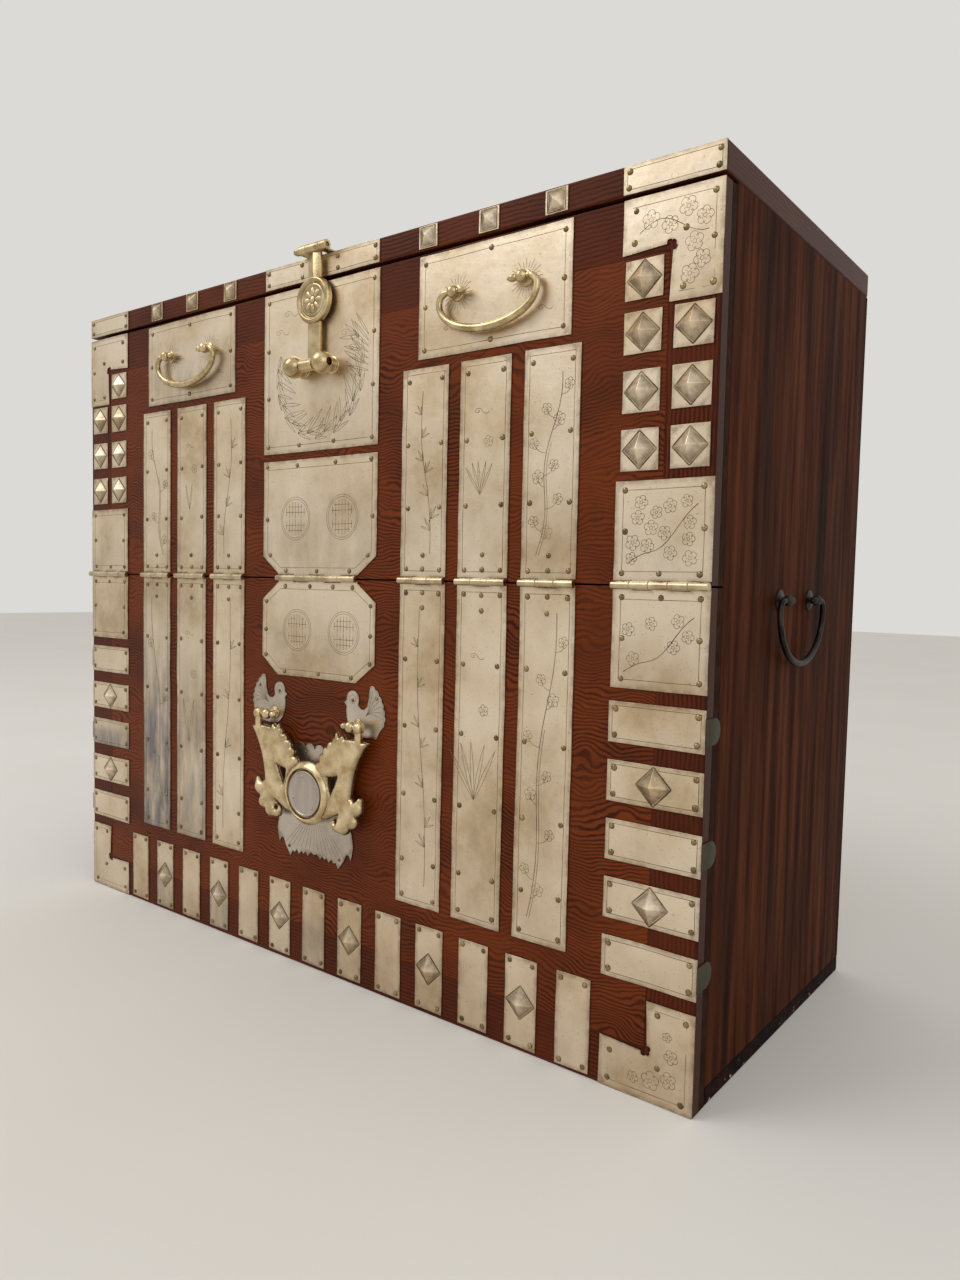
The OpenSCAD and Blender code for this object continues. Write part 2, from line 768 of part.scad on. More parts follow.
// Pale disc with a raised rim, set in the ring of the handle with a groove round it
module drop_handle_disc() {
    rim = 1.4;
    sunk = 0.6;
    color("#b8ab9c") standing(0, drop_axis_y + drop_t / 2 - ring_web_t, ring_z) rotate_extrude()
        polygon([[0, 0], [disc_r, 0], [disc_r, disc_t - sunk], [disc_r - sunk, disc_t],
            [disc_r - rim, disc_t], [disc_r - rim - sunk, disc_t - sunk], [0, disc_t - sunk]]);
}

lid_board();
side_board(true);  // side_board_left
side_board(false);  // side_board_right
back_boards();
bottom_board();
front_backing();
front_stile(true);  // front_stile_left
front_stile(false);  // front_stile_right
front_bottom_rail();
front_panel();
door_backing();
door_stile(true);  // door_stile_left
door_stile(false);  // door_stile_right
door_top_rail();
door_panel();
lid_corner_plate(true);  // lid_corner_plate_left
lid_corner_plate(false);  // lid_corner_plate_right
lid_centre_plate();
lid_stud_plates();
hasp_bracket();
hasp_pin();
hasp_strap();
door_corner_plate(true);  // door_corner_plate_left
door_corner_plate(false);  // door_corner_plate_right
door_stud_plates(true);  // door_stud_plates_left
door_stud_plates(false);  // door_stud_plates_right
door_hinge_square(true);  // door_hinge_square_left
door_hinge_square(false);  // door_hinge_square_right
handle_plate(true);  // handle_plate_left
handle_plate(false);  // handle_plate_right
lock_plate();
door_centre_leaf();
door_straps(true);  // door_straps_left
door_straps(false);  // door_straps_right
lock_posts();
bail_posts(true);  // bail_posts_left
bail_posts(false);  // bail_posts_right
front_bail(true);  // bail_left
front_bail(false);  // bail_right
front_hinge_square(true);  // front_hinge_square_left
front_hinge_square(false);  // front_hinge_square_right
front_centre_leaf();
front_straps(true);  // front_straps_left
front_straps(false);  // front_straps_right
side_bands(true);  // side_bands_left
side_bands(false);  // side_bands_right
foot_plate(true);  // foot_plate_left
foot_plate(false);  // foot_plate_right
bottom_row_plates();
bird_plate(true);  // bird_plate_left
bird_plate(false);  // bird_plate_right
leaf_backplate();
drop_handle_posts();
drop_handle();
drop_handle_disc();
hinge_pins();
side_handle_posts(true);  // side_handle_posts_left
side_handle_posts(false);  // side_handle_posts_right
side_bail(true);  // side_handle_left
side_bail(false);  // side_handle_right
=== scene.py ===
"""A half-opening chest of curly elm under pale brass plates, dressed for its portrait.

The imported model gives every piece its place. Here the boards get their grain, the sheet plates
are cut and beaten with their nails and scribed flowers, and the hasp, the bails and the winged
drop handle are cast. Sizes are in millimetres, X to the right and Z up, as seen from the front.
"""

import json
import logging
import math
import random
from dataclasses import dataclass, field, replace
from enum import Enum
from typing import Any, Iterable, Sequence

import bmesh
import bpy
from bmesh.types import BMEdge, BMesh, BMVert
from mathutils import Matrix, Vector, noise


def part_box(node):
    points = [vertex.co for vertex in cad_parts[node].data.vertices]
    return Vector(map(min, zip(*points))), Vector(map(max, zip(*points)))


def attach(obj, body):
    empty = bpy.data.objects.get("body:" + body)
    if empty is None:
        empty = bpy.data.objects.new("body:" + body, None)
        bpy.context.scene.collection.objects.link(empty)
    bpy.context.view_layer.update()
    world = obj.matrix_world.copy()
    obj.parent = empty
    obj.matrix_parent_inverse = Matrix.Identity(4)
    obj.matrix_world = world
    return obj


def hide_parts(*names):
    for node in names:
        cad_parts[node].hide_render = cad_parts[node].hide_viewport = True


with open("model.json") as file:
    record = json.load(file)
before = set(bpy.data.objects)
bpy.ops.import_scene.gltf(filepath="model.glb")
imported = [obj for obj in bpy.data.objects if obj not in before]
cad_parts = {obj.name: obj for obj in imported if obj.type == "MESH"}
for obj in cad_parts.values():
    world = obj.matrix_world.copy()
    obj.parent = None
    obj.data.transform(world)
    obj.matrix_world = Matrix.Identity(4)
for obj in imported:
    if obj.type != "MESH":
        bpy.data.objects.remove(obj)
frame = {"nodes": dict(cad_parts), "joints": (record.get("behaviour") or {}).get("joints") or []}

LOG = logging.getLogger("chest")
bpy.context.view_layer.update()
MM = 0.001
Point = tuple[float, float]
Lobe = tuple[float, float, float]

SHEET_SLOT = "sheet_brass"
CAST_SLOT = "cast_brass"
IRON_SLOT = "iron"
CARCASS = "carcass"
DOOR = "door"

TO_FRONT = Vector((0, -1, 0))
TO_RIGHT = Vector((1, 0, 0))
TO_LEFT = Vector((-1, 0, 0))
UP = Vector((0, 0, 1))


class Grain(Enum):
    """Which way the fibres of a board run, as degrees of turn about Y."""

    ALONG_X = 0.0
    ALONG_Z = 90.0


class Side(Enum):
    """A side of the chest, as the sign of its X."""

    LEFT = -1
    RIGHT = 1

    @property
    def word(self) -> str:
        """The word that ends the names of its nodes."""
        return self.name.lower()


def linear(code: str) -> tuple[float, float, float, float]:
    """Turn an sRGB hex colour into linear light.

    Args:
        code: Six hex digits, such as "c8b48a".

    Returns:
        Red, green and blue from 0 to 1, and an alpha of 1.
    """
    coded = [int(code[i:i + 2], 16) / 255 for i in (0, 2, 4)]
    lit = [s / 12.92 if s <= 0.04045 else ((s + 0.055) / 1.055) ** 2.4 for s in coded]
    return (*lit, 1.0)


def add(tree: bpy.types.NodeTree, kind: str, settings: dict[str, Any] | None = None,
        inputs: dict[Any, Any] | None = None) -> bpy.types.Node:
    """Add a node with its settings and links.

    Args:
        tree: The material's or world's node tree.
        kind: The node's type, such as "ShaderNodeMath".
        settings: The node's own properties.
        inputs: Values, sockets or nodes by the name or number of the input that they feed.

    Returns:
        The new node.
    """
    node = tree.nodes.new(kind)
    for name, value in (settings or {}).items():
        setattr(node, name, value)
    for name, value in (inputs or {}).items():
        if isinstance(value, bpy.types.Node):
            value = value.outputs[0]
        if isinstance(value, bpy.types.NodeSocket):
            tree.links.new(value, node.inputs[name])
        else:
            node.inputs[name].default_value = value
    return node


class Coats:
    """A material as it is built up, from its ground colour through its coats to its gloss."""

    def __init__(self, name: str, ground: str) -> None:
        """Start a material.

        Args:
            name: The material's name.
            ground: Its first colour, as sRGB hex.
        """
        self.material = bpy.data.materials.new(name)
        self.material.use_nodes = True
        self.tree = self.material.node_tree
        self.tree.nodes.clear()
        self.colour: Any = linear(ground)
        self.places: dict[Any, Any] = {}

    def place(self, stretch: Sequence[float] = (1, 1, 1), turn: float = 0.0) -> Any:
        """Give the piece's own coordinates, turned about Y and then stretched.

        Args:
            stretch: The scale along each axis, below 1 where a pattern is drawn out.
            turn: Degrees about Y that they are turned by first.

        Returns:
            The coordinates in metres, made once for each turn and stretch.
        """
        if (stretch, turn) not in self.places:
            spot: Any = add(self.tree, "ShaderNodeTexCoord").outputs["Object"]
            if turn:
                spot = add(self.tree, "ShaderNodeMapping", None,
                           {"Vector": spot, "Rotation": (0, math.radians(turn), 0)})
            if stretch != (1, 1, 1):
                spot = add(self.tree, "ShaderNodeMapping", None,
                           {"Vector": spot, "Scale": stretch})
            self.places[stretch, turn] = spot
        return self.places[stretch, turn]

    def pattern(self, size: float, stretch: Sequence[float] = (1, 1, 1), turn: float = 0.0,
                detail: float = 3.0, rough: float = 0.55) -> bpy.types.NodeSocket:
        """Draw a cloudy pattern through the piece.

        Args:
            size: How wide its features are, in millimetres.
            stretch: As for place().
            turn: As for place().
            detail: How many finer layers it has.
            rough: How strong those layers are.

        Returns:
            The pattern, from 0 to 1.
        """
        inputs = {"Vector": self.place(stretch, turn), "Scale": 1 / (size * MM),
                  "Detail": detail, "Roughness": rough}
        return add(self.tree, "ShaderNodeTexNoise", None, inputs).outputs[0]

    def strength(self, *steps: Any) -> Any:
        """Work out how strong something is, as a product.

        Args:
            *steps: What is multiplied: a pattern or a number as it is, or a tuple of a pattern,
                the two values of it that count, and the strengths that they stand for, which
                are 0 and 1 where they are left out.

        Returns:
            The node with the strength.
        """
        total: Any = None
        for step in steps:
            if isinstance(step, tuple):
                value, low, high, *ends = step
                inputs = dict(enumerate((value, low, high, *(ends or (0.0, 1.0)))))
                step = add(self.tree, "ShaderNodeMapRange", {"clamp": True}, inputs)
            total = step if total is None else \
                add(self.tree, "ShaderNodeMath", {"operation": "MULTIPLY"}, {0: total, 1: step})
        return total

    def weighed(self, first: Any, *parts: tuple[Any, float]) -> Any:
        """Add weighed patterns to a first one.

        Args:
            first: A pattern or a number that is taken as it is.
            *parts: Each further pattern with its weight.

        Returns:
            The node with the sum.
        """
        for part, weight in parts:
            first = add(self.tree, "ShaderNodeMath", {"operation": "MULTIPLY_ADD"},
                        {0: part, 1: weight, 2: first})
        return first

    def beyond(self, reach: float) -> tuple[Any, ...]:
        """Give the step for strength() that picks out the ends of a board.

        Args:
            reach: How far its ends lie from the chest's middle, in millimetres.

        Returns:
            The step, which is nearly full from 1 mm beyond the reach.
        """
        across = add(self.tree, "ShaderNodeSeparateXYZ", None, {0: self.place()}).outputs[0]
        aside = add(self.tree, "ShaderNodeMath", {"operation": "ABSOLUTE"}, {0: across})
        return aside, (reach - 1) * MM, (reach + 1) * MM, 0.0, 0.92

    def lay(self, code: str, *steps: Any) -> None:
        """Lay a coat of a colour over the ones before, as strong as strength() says."""
        self.colour = add(self.tree, "ShaderNodeMix", {"data_type": "RGBA"},
                          {0: self.strength(*steps), 6: self.colour, 7: linear(code)}).outputs[2]

    def close(self, settings: dict[str, Any], relief: Any, height: float) -> bpy.types.Material:
        """End the material with its shader, its bump and its output.

        Args:
            settings: Inputs of the Principled shader besides its colour.
            relief: The socket with the height from 0 to 1.
            height: What a height of 1 stands for, in millimetres.

        Returns:
            The finished material.
        """
        normal = add(self.tree, "ShaderNodeBump", None,
                     {"Strength": 1.0, "Distance": height * MM, "Height": relief})
        shader = add(self.tree, "ShaderNodeBsdfPrincipled", None,
                     {"Base Color": self.colour, **settings, "Normal": normal})
        add(self.tree, "ShaderNodeOutputMaterial", None, {"Surface": shader})
        return self.material


@dataclass(frozen=True)
class CurlyElm:
    """Oiled elm, cut on the flat: dark open-pored rings that run in curls."""

    name: str
    light: str
    dark: str
    deep: str
    grain: Grain
    curl: float = 19.0
    curl_mm: float = 110.0
    ends_mm: float = 447.5
    ring_mm: float = 4.0
    ripple_mm: float = 7.0
    faint_mm: float = 70.0
    stain_mm: float = 90.0
    fibre_mm: float = 1.1
    pore_mm: float = 0.9  # coarser than real pores, which would not show
    rough: float = 0.30
    sheen: float = 0.12  # low, so that the pale room does not grey the wood

    def make(self) -> bpy.types.Material:
        """Build the material.

        Returns:
            The finished material.
        """
        wood, turn = Coats(self.name, self.light), self.grain.value
        height = add(wood.tree, "ShaderNodeSeparateXYZ", None,
                     {0: wood.place((0.55, 1, 1), turn)}).outputs[2]
        broad = wood.pattern(self.curl_mm, (0.55, 1, 1), turn, 1.0, 0.4)
        small = wood.pattern(self.curl_mm / 3, (0.8, 1, 1), turn, 1.5, 0.45)
        ripple = wood.pattern(self.ripple_mm, (0.6, 1, 1), turn, 2.0)
        level = wood.weighed(wood.strength(height, 1 / (self.ring_mm * MM)), (broad, self.curl),
                             (small, self.curl * 0.45), (ripple, 0.8))
        wave = add(wood.tree, "ShaderNodeMath", {"operation": "SINE"},
                   {0: wood.strength(level, math.tau)})
        ring = wood.strength((wave, -0.3, 0.95))
        fibre = wood.pattern(self.fibre_mm, (0.06, 1, 1), turn, 4.0, 0.7)
        pores = wood.pattern(self.pore_mm, (0.12, 1, 1), turn, 2.0)
        open_pores = wood.strength((pores, 0.58, 0.68), (ring, 0.2, 0.9))
        wood.lay(self.dark, ring, (wood.pattern(self.faint_mm, detail=2.0), 0.35, 0.65, 0.35, 1.0))
        wood.lay(self.dark, (fibre, 0.4, 0.75, 0.0, 0.4))
        wood.lay(self.deep, (wood.pattern(self.stain_mm, (0.5, 1, 1), turn), 0.45, 0.75, 0.0, 0.55))
        wood.lay(self.deep, open_pores, 0.6)
        wood.lay(self.dark, wood.beyond(self.ends_mm))
        gloss = wood.weighed(self.rough, (fibre, 0.16))
        relief = wood.weighed(fibre, (open_pores, -0.7), (ring, -0.4))
        return wood.close({"Roughness": gloss, "IOR": 1.45, "Specular IOR Level": self.sheen},
                          relief, 0.12)


@dataclass(frozen=True)
class StreakedBoard:
    """Old stained board: straight dark streaks along its fibres under dull worn oil."""

    name: str
    light: str
    dark: str
    deep: str
    grain: Grain
    streak_mm: float = 9.0
    chips: float = 0.0
    chip_mm: float = 9.0
    bare: str = "b8a48c"
    ends_mm: float = 1000.0
    ends: str = "1c0d07"
    hair_mm: float = 0.9
    blotch_mm: float = 120.0
    sheen: float = 0.04  # low, so that the pale room does not grey the wood

    def make(self) -> bpy.types.Material:
        """Build the material.

        Returns:
            The finished material.
        """
        wood, turn = Coats(self.name, self.light), self.grain.value
        broad = wood.pattern(self.streak_mm * 4, (0.09, 1, 1), turn, 4.0, 0.6)
        fine = wood.pattern(self.streak_mm, (0.06, 1, 1), turn, 4.0, 0.62)
        hair = wood.pattern(self.hair_mm, (0.04, 1, 1), turn, 3.0, 0.7)
        height = add(wood.tree, "ShaderNodeSeparateXYZ", None, {0: wood.place()}).outputs[2]
        wood.lay(self.dark, (fine, 0.36, 0.66))
        wood.lay(self.deep, (broad, 0.42, 0.68, 0.0, 0.85))
        wood.lay(self.deep, (hair, 0.5, 0.72, 0.0, 0.5))
        wood.lay(self.dark, (wood.pattern(self.blotch_mm), 0.5, 0.8, 0.0, 0.5))
        wood.lay(self.bare, (wood.pattern(self.chip_mm, detail=5.0, rough=0.6), 0.64, 0.66),
                 (height, 5 * MM, 12 * MM, self.chips, 0.0))
        wood.lay(self.ends, wood.beyond(self.ends_mm))
        gloss = wood.strength((fine, 0.3, 0.7, 0.5, 0.68))
        return wood.close({"Roughness": gloss, "IOR": 1.45, "Specular IOR Level": self.sheen},
                          wood.weighed(hair, (fine, 0.8)), 0.12)


@dataclass(frozen=True)
class BeatenSheet:
    """Pale nickel-rich brass sheet, hammered flat, rubbed by hand and browned by age.

    The mesh carries "tone", the strength of its grey tarnish, and "rim", which is 0 at a browned
    edge, 1 away from it, and below 0 where a corner is darkened with dirt and painted shade: on the
    cut sides of a plate and round the foot of a pyramid.
    """

    name: str = "beaten_pale_brass"
    pale: str = "eddcc3"
    warm: str = "d0b996"
    brown: str = "7c6650"
    slate: str = "77757a"
    # The dark of dirt and painted shade in corners.
    grime: str = "2e2118"
    cloud_mm: float = 80.0
    mottle_mm: float = 9.0
    smear_mm: float = 13.0
    speck_mm: float = 1.6
    beat_mm: float = 14.0
    # Width, stretch and turn of the two sets of rub marks, coarser than real ones so as to show.
    rubs: tuple[tuple[float, tuple[float, float, float], float], ...] = (
        (1.2, (1, 1, 0.06), 24), (1.4, (0.05, 1, 1), -12))

    def make(self) -> bpy.types.Material:
        """Build the material.

        Returns:
            The finished material.
        """
        metal = Coats(self.name, self.pale)
        rim, tone = [add(metal.tree, "ShaderNodeAttribute", {"attribute_name": name}).outputs["Fac"]
                     for name in ("rim", "tone")]
        cloud = metal.pattern(self.cloud_mm, detail=4.0, rough=0.55)
        mottle = metal.pattern(self.mottle_mm, detail=4.0, rough=0.65)
        smear = metal.pattern(self.smear_mm, (1, 1, 0.22), 0.0, 5.0, 0.6)
        speck = metal.pattern(self.speck_mm, detail=2.0)
        scuff = add(metal.tree, "ShaderNodeMath", {"operation": "MAXIMUM"},
                    {i: metal.pattern(*rub, 3.0, 0.7) for i, rub in enumerate(self.rubs)})
        metal.lay(self.warm, (cloud, 0.36, 0.68))
        shade = metal.weighed(metal.strength(cloud, 0.6), (mottle, 0.4))
        metal.lay(self.brown, (shade, 0.52, 0.8, 0.0, 0.4))
        metal.lay(self.slate, (smear, 0.3, 0.6, 0.25, 1.0), tone)
        metal.lay(self.brown, (rim, 0.0, 0.5, 0.6, 0.0), (mottle, 0.38, 0.58, 0.3, 1.0))
        metal.lay(self.brown, (speck, 0.66, 0.74, 0.0, 0.6))
        # Dirt and painted shade below rim 0: the cut sides of the plates and the feet of the
        # pyramids go dark.
        metal.lay(self.grime, (rim, -1.0, -0.1, 0.9, 0.0))
        gloss = metal.weighed(metal.strength((scuff, 0.45, 0.75, 0.22, 0.36)), (cloud, 0.2))
        beaten = metal.pattern(self.beat_mm, detail=2.0, rough=0.5)
        return metal.close({"Metallic": 1.0, "Roughness": gloss},
                           metal.weighed(beaten, (scuff, 0.06)), 0.3)


@dataclass(frozen=True)
class CastMetal:
    """Sand-cast or drawn metal, bright where hands rub it and dark in its hollows.

    The mesh may carry a layer that is 1 where an edge is darkened with dirt and painted shade:
    round the foot of a nail and along the thin rim of a cast wing.
    """

    name: str
    bright: str
    body: str
    hollow: str
    rough: float
    cloud_mm: float = 16.0
    grit_mm: float = 0.7

    def make(self) -> bpy.types.Material:
        """Build the material.

        Returns:
            The finished material.
        """
        metal = Coats(self.name, self.body)
        worn = add(metal.tree, "ShaderNodeNewGeometry").outputs["Pointiness"]
        dirt_and_shade_mask = add(metal.tree, "ShaderNodeAttribute", {"attribute_name": "grime"}).outputs["Fac"]
        cloud = metal.pattern(self.cloud_mm, detail=4.0, rough=0.6)
        grit = metal.pattern(self.grit_mm)
        metal.lay(self.bright, (cloud, 0.35, 0.65))
        metal.lay(self.hollow, (worn, 0.42, 0.49, 0.9, 0.0))
        metal.lay(self.bright, (worn, 0.53, 0.62, 0.0, 0.6))
        metal.lay(self.hollow, (grit, 0.62, 0.75, 0.0, 0.4))
        # Dirt and painted shade from the mesh's layer: black round the foot of each nail, dark
        # along the thin edges of the cast wings.
        metal.lay(self.hollow, (dirt_and_shade_mask, 0.0, 1.0, 0.0, 0.85))
        gloss = metal.strength((cloud, 0.3, 0.75, self.rough - 0.07, self.rough + 0.14))
        return metal.close({"Metallic": 1.0, "Roughness": gloss}, grit, 0.05)


@dataclass(frozen=True)
class ScribedLine:
    """A dark ribbon in place of a line cut into brass: the painted shade of its groove and the old
    wax and dirt in it.
    """

    name: str = "scribed_line"
    dark: str = "5c4c33"
    worn: str = "94815c"
    fade_mm: float = 14.0

    def make(self) -> bpy.types.Material:
        """Build the material.

        Returns:
            The finished material.
        """
        line = Coats(self.name, self.dark)
        fade = line.pattern(self.fade_mm)
        line.lay(self.worn, (fade, 0.4, 0.62))
        return line.close({"Metallic": 0.85, "Roughness": 0.5}, fade, 0.02)


STRAIGHT_ELM = CurlyElm("straight_elm_rail", "5a250c", "351205", "1f0a03", Grain.ALONG_X,
                        curl=4, curl_mm=260)
FINISHES = {
    # Elm planed on the flat and oiled: curls of dark rings on a warm red-brown.
    "panel": CurlyElm("curly_elm", "703211", "361204", "1e0a02", Grain.ALONG_X),
    # Elm sawn nearly on the quarter and oiled: calm lines along the rails and up the stiles.
    "rail": STRAIGHT_ELM,
    "stile": replace(STRAIGHT_ELM, name="straight_elm_stile", grain=Grain.ALONG_Z),
    # Softwood stained nearly black and worn dull: red-brown streaks down the sides.
    "side": StreakedBoard("streaked_side_board", "55280c", "2e1105", "150602", Grain.ALONG_Z, 14),
    # Elm with long slow curls, oiled: the top, with ends gone dark.
    "lid": CurlyElm("elm_lid", "5f2a0f", "361307", "1f0a04", Grain.ALONG_X, curl=6, curl_mm=200,
                    ends_mm=449.5),
    # The same dark board at the foot, knocked until bare wood shows in pale chips.
    "base": StreakedBoard("dark_bottom_board", "2c120c", "180a07", "0c0504", Grain.ALONG_X,
                          chips=0.9),
    # Planed softwood that never saw oil: dull brown inside, with end grain gone dark.
    "inside": StreakedBoard("planed_inner_board", "8a5c36", "6a4024", "47280f", Grain.ALONG_X, 14,
                            ends_mm=446),
    # Pale brass sheet, beaten and rubbed: soft uneven gloss, warm clouds and browned edges.
    "sheet": BeatenSheet(),
    # White metal sheet, beaten: the same surface, greyer and cooler.
    "white": BeatenSheet("beaten_white_metal", "d4c8b9", "bcb0a1", "75695c", "7a7775"),
    # Cast brass, polished: a yellow gleam on its swells, brown in its hollows, and painted shade
    # along the thin edges of the wings.
    "cast": CastMetal("cast_brass", "e6d2ab", "b69c72", "3e3020", 0.27),
    # Cast brass, worn smooth by hands: a deeper yellow with sharper lights.
    "handled": CastMetal("handled_cast_brass", "dac69c", "a28c66", "33281a", 0.24),
    # Hammered brass nail heads: a small light on each dome inside a black ring of dirt and painted
    # shadow.
    "nail": CastMetal("dark_brass_nail", "b09a70", "685539", "0f0b07", 0.25),
    # Brass sheet rolled into barrels: bright along the top, dark in the gaps.
    "barrel": CastMetal("rolled_brass_barrel", "d2c4a4", "a89474", "4a3c2a", 0.28),
    # Forged iron, blackened: nearly black with a broad dull shine.
    "iron": CastMetal("forged_iron", "4a4541", "262321", "120f0d", 0.46),
    # Brass under old verdigris and dirt: a matt green-grey.
    "verdigris": CastMetal("green_grey_brass", "5c5a4a", "443f33", "25231c", 0.6),
    # Scribed brass: thin brown lines of painted groove shade and dirt, that fade where rubbing has
    # cleaned them.
    "scribed": ScribedLine(),
}
SHEET_MM = 1.2
WANDER_MM = 230.0
WAVER_MM = 42.0
DENT_MM = (33.0, 15.0)


class Finishes:
    """Every material of the chest, under its short name."""

    def __init__(self) -> None:
        """Build them all."""
        self.made = {name: finish.make() for name, finish in FINISHES.items()}

    def __getitem__(self, name: str) -> bpy.types.Material:
        """Give the material of that name."""
        return self.made[name]


def mm(x: float, y: float, z: float) -> Vector:
    """Turn millimetres into a point of the frame."""
    return Vector((x, y, z)) * MM


def clamped(value: float, low: float = 0.0, high: float = 1.0) -> float:
    """Keep a value between two limits."""
    return min(high, max(low, value))


def shares(count: int) -> list[float]:
    """Give the shares of the way from 0 to 1 in this many equal steps."""
    return [i / count for i in range(count + 1)]


def spoke(centre: Point, radius: float, degrees: float) -> Point:
    """Give the point at a distance from a centre, on the way given in degrees."""
    way = math.radians(degrees)
    return centre[0] + radius * math.cos(way), centre[1] + radius * math.sin(way)


def arc(centre: Point, radius: float, start: float, end: float, steps: int) -> list[Point]:
    """Give points on an arc between two angles in degrees, both ends included."""
    return [spoke(centre, radius, start + (end - start) * i / steps) for i in range(steps + 1)]


def bow(a: Point, b: Point, c: Point, steps: int) -> list[Point]:
    """Give points on a curve from a to c that is pulled towards b."""
    return [tuple((1 - t) ** 2 * p + 2 * t * (1 - t) * q + t * t * r
                  for p, q, r in zip(a, b, c)) for t in shares(steps)]


def scallops(points: Sequence[Point], bulge: float, steps: int = 5) -> list[Point]:
    """Join points by arcs that bulge to the left of the way.

    Args:
        points: Where the arcs meet.
        bulge: How far each stands out, as a share of its length.
        steps: Steps of each arc.

    Returns:
        The points of the whole line.
    """
    path = [points[0]]
    for a, b in zip(points, points[1:]):
        pull = ((a[0] + b[0]) / 2 - 2 * bulge * (b[1] - a[1]),
                (a[1] + b[1]) / 2 + 2 * bulge * (b[0] - a[0]))
        path += bow(a, pull, b, steps)[1:]
    return path


def flipped(points: Sequence[Point]) -> list[Point]:
    """Give the mirror image of points, in the opposite order."""
    return [(-x, z) for x, z in reversed(points)]


def placed(points: Iterable[Point], origin: Point, sign: float = 1) -> list[Point]:
    """Move points to an origin, mirrored first where the sign is -1."""
    return [(origin[0] + sign * x, origin[1] + z) for x, z in points]


def grid(xs: Iterable[float], zs: Sequence[float]) -> list[Point]:
    """Give every pair of an X and a Z."""
    return [(x, z) for x in xs for z in zs]


@dataclass(frozen=True)
class Span:
    """The box of one or more CAD nodes in millimetres."""

    left: float
    right: float
    front: float
    back: float
    low: float
    high: float

    @classmethod
    def of(cls, *nodes: str) -> "Span":
        """Measure nodes.

        Args:
            *nodes: Their names.

        Returns:
            The box round them all.
        """
        boxes = [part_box(node) for node in nodes]
        low = [min(b[0][i] for b in boxes) / MM for i in range(3)]
        high = [max(b[1][i] for b in boxes) / MM for i in range(3)]
        return cls(low[0], high[0], low[1], high[1], low[2], high[2])

    @property
    def mid_x(self) -> float:
        """The middle from left to right."""
        return (self.left + self.right) / 2

    @property
    def mid_z(self) -> float:
        """The middle from low to high."""
        return (self.low + self.high) / 2

    @property
    def wide(self) -> float:
        """The width."""
        return self.right - self.left

    @property
    def tall(self) -> float:
        """The height."""
        return self.high - self.low

    @property
    def corners(self) -> list[Point]:
        """The four corners of the face, from the lower left one round."""
        return [(self.left, self.low), (self.right, self.low), (self.right, self.high),
                (self.left, self.high)]

    def around(self, x: float, z: float, wide: float, high: float) -> "Span":
        """Give a smaller box about a point of the face."""
        return replace(self, left=x - wide / 2, right=x + wide / 2, low=z - high / 2,
                       high=z + high / 2)

    def inset(self, by: float) -> "Span":
        """Give the box with its four edges moved in."""
        return replace(self, left=self.left + by, right=self.right - by, low=self.low + by,
                       high=self.high - by)

    def edge_points(self, across: int = 2, up: int = 2) -> list[Point]:
        """Give evenly spaced points along the four edges.

        Args:
            across: Points along the width.
            up: Points along the height.

        Returns:
            The points, each once.
        """
        xs = [self.left + self.wide * i / (across - 1) for i in range(across)]
        zs = [self.low + self.tall * i / (up - 1) for i in range(1, up - 1)]
        return grid(xs, (self.low, self.high)) + grid((xs[0], xs[-1]), zs)


def pivot(name: str) -> Vector:
    """Give the place of the joint of that name, in millimetres."""
    joint = next(j for j in frame["joints"] if j["name"] == name)
    return Vector(joint["pos_m"]) / MM


FACE = Span.of("door_panel", "front_panel")
CHEST = Span.of("lid_board", "bottom_board")
SHEET_FRONT = FACE.front - SHEET_MM
HINGE_LINE = pivot("door_hinge")
LEAF_GAP = 4.0


def clothe(node: str, material: bpy.types.Material) -> bpy.types.Object:
    """Give a CAD node its finish.

    Args:
        node: Its name.
        material: The finish.

    Returns:
        The node's object.
    """
    obj = frame["nodes"][node]
    for slot in obj.material_slots:
        slot.material = material
    LOG.info("%s: %s", node, material.name)
    return obj


def piece(mesh: BMesh, name: str, body: str, slot: str, material: bpy.types.Material,
          stands_for: Iterable[str] = (), crease: float = 50.0) -> bpy.types.Object:
    """Turn a bmesh into a finished piece of the chest.

    Args:
        mesh: The shape, in metres and in place. It is freed.
        name: The piece's name.
        body: The CAD body that it rides on.
        slot: The record's material slot; not used.
        material: Its finish.
        stands_for: The CAD nodes that it replaces.
        crease: Edges sharper than this, in degrees, stay sharp.

    Returns:
        The new object.
    """
    for face in mesh.faces:
        face.smooth = True
    for edge in mesh.edges:
        edge.smooth = len(edge.link_faces) != 2 or \
            edge.calc_face_angle(0) < math.radians(crease)
    obj = linked(mesh, name)
    obj.data.materials.append(material)
    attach(obj, body)
    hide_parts(*stands_for)
    LOG.info("%s: %d faces", name, len(obj.data.polygons))
    return obj


def linked(mesh: BMesh, name: str) -> bpy.types.Object:
    """Make an object of a bmesh in the scene.

    Args:
        mesh: The shape. It is freed.
        name: The object's name.

    Returns:
        The new object.
    """
    data = bpy.data.meshes.new(name)
    mesh.to_mesh(data)
    mesh.free()
    obj = bpy.data.objects.new(name, data)
    bpy.context.scene.collection.objects.link(obj)
    return obj


def pour(mesh: BMesh, part: BMesh) -> None:
    """Add one bmesh to another.

    Args:
        mesh: The bmesh that grows.
        part: What is added. It is freed.
    """
    data = bpy.data.meshes.new("poured")
    part.to_mesh(data)
    part.free()
    mesh.from_mesh(data)
    bpy.data.meshes.remove(data)


def facing(origin: Vector, axis: Vector) -> Matrix:
    """Give the matrix that stands local +Z along an axis at a point in millimetres."""
    return Matrix.Translation(origin * MM) @ axis.to_track_quat("Z", "Y").to_matrix().to_4x4()


